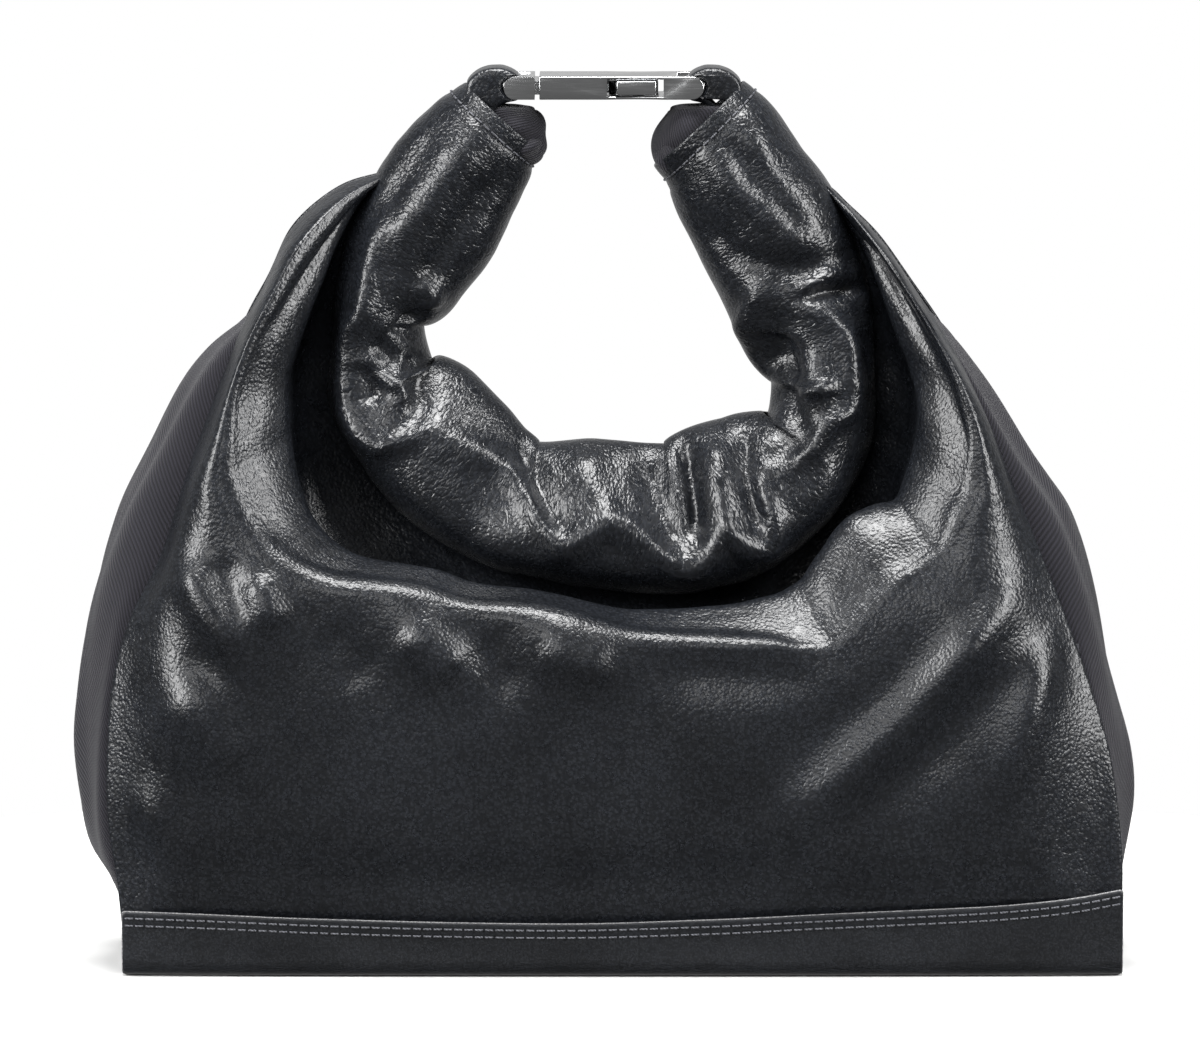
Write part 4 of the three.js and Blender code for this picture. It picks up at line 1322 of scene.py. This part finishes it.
class HANDBAG_OT_buckle(bpy.types.Operator):
    """Makes the side-release buckle: polished pieces with softened edges"""
    bl_idname = "handbag.buckle"
    bl_label = "Buckle"

    def execute(self, context):
        sizes = context.scene.handbag_sizes
        bodies = {
            "socket": "socket_half", "plug_frame": "plug", "front_lever": "plug_front_lever",
            "back_lever": "plug_back_lever", "front_lever_pin": "plug", "back_lever_pin": "plug",
        }
        for node, body in bodies.items():
            piece = welded_copy(node, f"polished_{node}")
            dress(piece, finish_of(plated_metal), "polished_metal")
            edges = piece.modifiers.new("soft_edges", "BEVEL")
            edges.width = sizes.edge_bevel if "pin" not in node else sizes.edge_bevel * 0.5
            edges.segments = 3
            edges.limit_method = "ANGLE"
            edges.angle_limit = math.radians(35)
            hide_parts(node)
            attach(piece, body)
        # the coil spring is squeezed between the levers: each half of it follows its own lever
        low, high = (Vector(corner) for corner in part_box("lever_spring"))
        middle = (low + high) / 2
        coil = welded_copy("lever_spring", "coil_spring")
        dress(coil, finish_of(spring_steel), "spring_steel")
        for half, name in cut_in_halves(coil, axis=1, place=0.0, names=("front", "back")):
            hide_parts("lever_spring")
            end = low.y if name == "front" else high.y
            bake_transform(half, "plug", f"plug_{name}_lever", start=middle, end=(middle.x, end, middle.z))
        return {"FINISHED"}


# --- Stage ---

FLOOR_RADIUS = 430.0
FLOOR_BACK = 110.0       # how far the middle of the floor lies behind the bag
FLOOR_HEIGHT = -0.3
SENSOR_WIDTH = 36


def floor_points():
    """A round sheet of paper on the table."""
    reach = np.array([1.0, 120, 240, 360, FLOOR_RADIUS])
    turn = np.linspace(0, 2 * math.pi, 96, endpoint=False)
    x = reach[:, None] * np.cos(turn)
    y = FLOOR_BACK + reach[:, None] * np.sin(turn)
    return np.stack([x, y, np.full_like(x, FLOOR_HEIGHT)], axis=-1)


def aim(item, place, target):
    """Puts a light or a camera at a place and turns it to its target."""
    item.location = place
    item.rotation_euler = (target - place).to_track_quat("-Z", "Y").to_euler()


def soft_light(name, place, target, width, height, power):
    lamp = bpy.data.lights.new(name, "AREA")
    lamp.shape = "RECTANGLE"
    lamp.size, lamp.size_y = width, height
    lamp.energy = power
    aim(new_object(name, lamp), Vector(place), Vector(target))


class HANDBAG_OT_stage(bpy.types.Operator):
    """Makes the floor, the lights and the camera"""
    bl_idname = "handbag.stage"
    bl_label = "Stage"

    def execute(self, context):
        scene = context.scene
        floor = sheet_mesh("studio_floor", floor_points(), closed=True, outward=(0, 0, 1))
        floor.data.materials.append(finish_of(studio_paper))
        floor.visible_glossy = False
        soft_light("top_softbox", (0.0, -0.3, 1.6), (0, 0, 0.15), 0.9, 0.5, 36)
        soft_light("left_softbox", (-1.2, -0.75, 0.75), (0, 0, 0.17), 0.6, 1.0, 30)
        soft_light("right_softbox", (1.25, -0.65, 0.75), (0, 0, 0.17), 0.5, 1.0, 25)
        soft_light("front_fill", (-0.8, -2.8, 1.5), (0, 0, 0.10), 1.4, 0.8, 18)
        world = bpy.data.worlds.new("studio_room")
        world.use_nodes = True
        room = world.node_tree
        room.nodes.clear()
        rays = add(room, "ShaderNodeLightPath")
        ray = add(room, "ShaderNodeTexCoord").outputs["Generated"]
        facing = add(room, "ShaderNodeSeparateXYZ", {}, Vector=ray)
        side = add(room, "ShaderNodeMath", {"operation": "MULTIPLY_ADD", 1: 0.5, 2: 0.5},
                   _0=facing.outputs[1])
        walls = add(room, RAMP, {"stops": [(0, 0.17), (0.25, 0.05), (0.6, 0.07), (1, 0.6)]},
                    Fac=side.outputs[0])
        dim = add(room, "ShaderNodeBackground", {"Strength": 1.0}, Color=walls.outputs[0])
        white = add(room, "ShaderNodeBackground", {"Color": (1, 1, 1, 1), "Strength": 1.0})
        seen = add(room, "ShaderNodeMixShader", {}, _0=rays.outputs["Is Camera Ray"], _1=dim.outputs[0],
                   _2=white.outputs[0])
        add(room, "ShaderNodeOutputWorld", {}, Surface=seen.outputs[0])
        scene.world = world
        scene.view_settings.view_transform = "Standard"
        lens = bpy.data.cameras.new("product_camera")
        lens.sensor_width = SENSOR_WIDTH
        lens.sensor_fit = "HORIZONTAL"
        distance, elevation, width = 5.0, math.radians(5.5), 0.4585
        lens.lens = SENSOR_WIDTH * distance / width
        scene.camera = new_object("product_camera", lens)
        target = Vector((-0.0015, 0, 0.1668))
        way = Vector((0, -math.cos(elevation), math.sin(elevation)))
        aim(scene.camera, target + way * distance, target)
        return {"FINISHED"}


STEPS = (
    HANDBAG_OT_front_leather, HANDBAG_OT_back_leather, HANDBAG_OT_twill_sides, HANDBAG_OT_base_band,
    HANDBAG_OT_rolled_mouth, HANDBAG_OT_strap_tabs, HANDBAG_OT_twill_folds, HANDBAG_OT_lining,
    HANDBAG_OT_stitches, HANDBAG_OT_buckle, HANDBAG_OT_stage,
)


class HANDBAG_PT_pieces(bpy.types.Panel):
    """Lists the sizes, the colours and the pieces of the handbag"""
    bl_idname = "HANDBAG_PT_pieces"
    bl_label = "Roll-top handbag"
    bl_space_type = "VIEW_3D"
    bl_region_type = "UI"
    bl_category = "Handbag"

    def draw(self, context):
        layout = self.layout
        for group in (context.scene.handbag_sizes, context.scene.handbag_colours):
            box = layout.box()
            for name in group.__annotations__:
                box.prop(group, name)
        for step in STEPS:
            layout.operator(step.bl_idname)


CLASSES = (HandbagSizes, HandbagColours, *STEPS, HANDBAG_PT_pieces)


def register():
    for item in CLASSES:
        bpy.utils.register_class(item)
    bpy.types.Scene.handbag_sizes = PointerProperty(type=HandbagSizes)
    bpy.types.Scene.handbag_colours = PointerProperty(type=HandbagColours)


def unregister():
    del bpy.types.Scene.handbag_colours
    del bpy.types.Scene.handbag_sizes
    for item in reversed(CLASSES):
        bpy.utils.unregister_class(item)


def main():
    register()
    bpy.ops.handbag.front_leather()
    bpy.ops.handbag.back_leather()
    bpy.ops.handbag.twill_sides()
    bpy.ops.handbag.base_band()
    bpy.ops.handbag.rolled_mouth()
    bpy.ops.handbag.strap_tabs()
    bpy.ops.handbag.twill_folds()
    bpy.ops.handbag.lining()
    bpy.ops.handbag.stitches()
    bpy.ops.handbag.buckle()
    bpy.ops.handbag.stage()


if __name__ == "__main__":
    main()
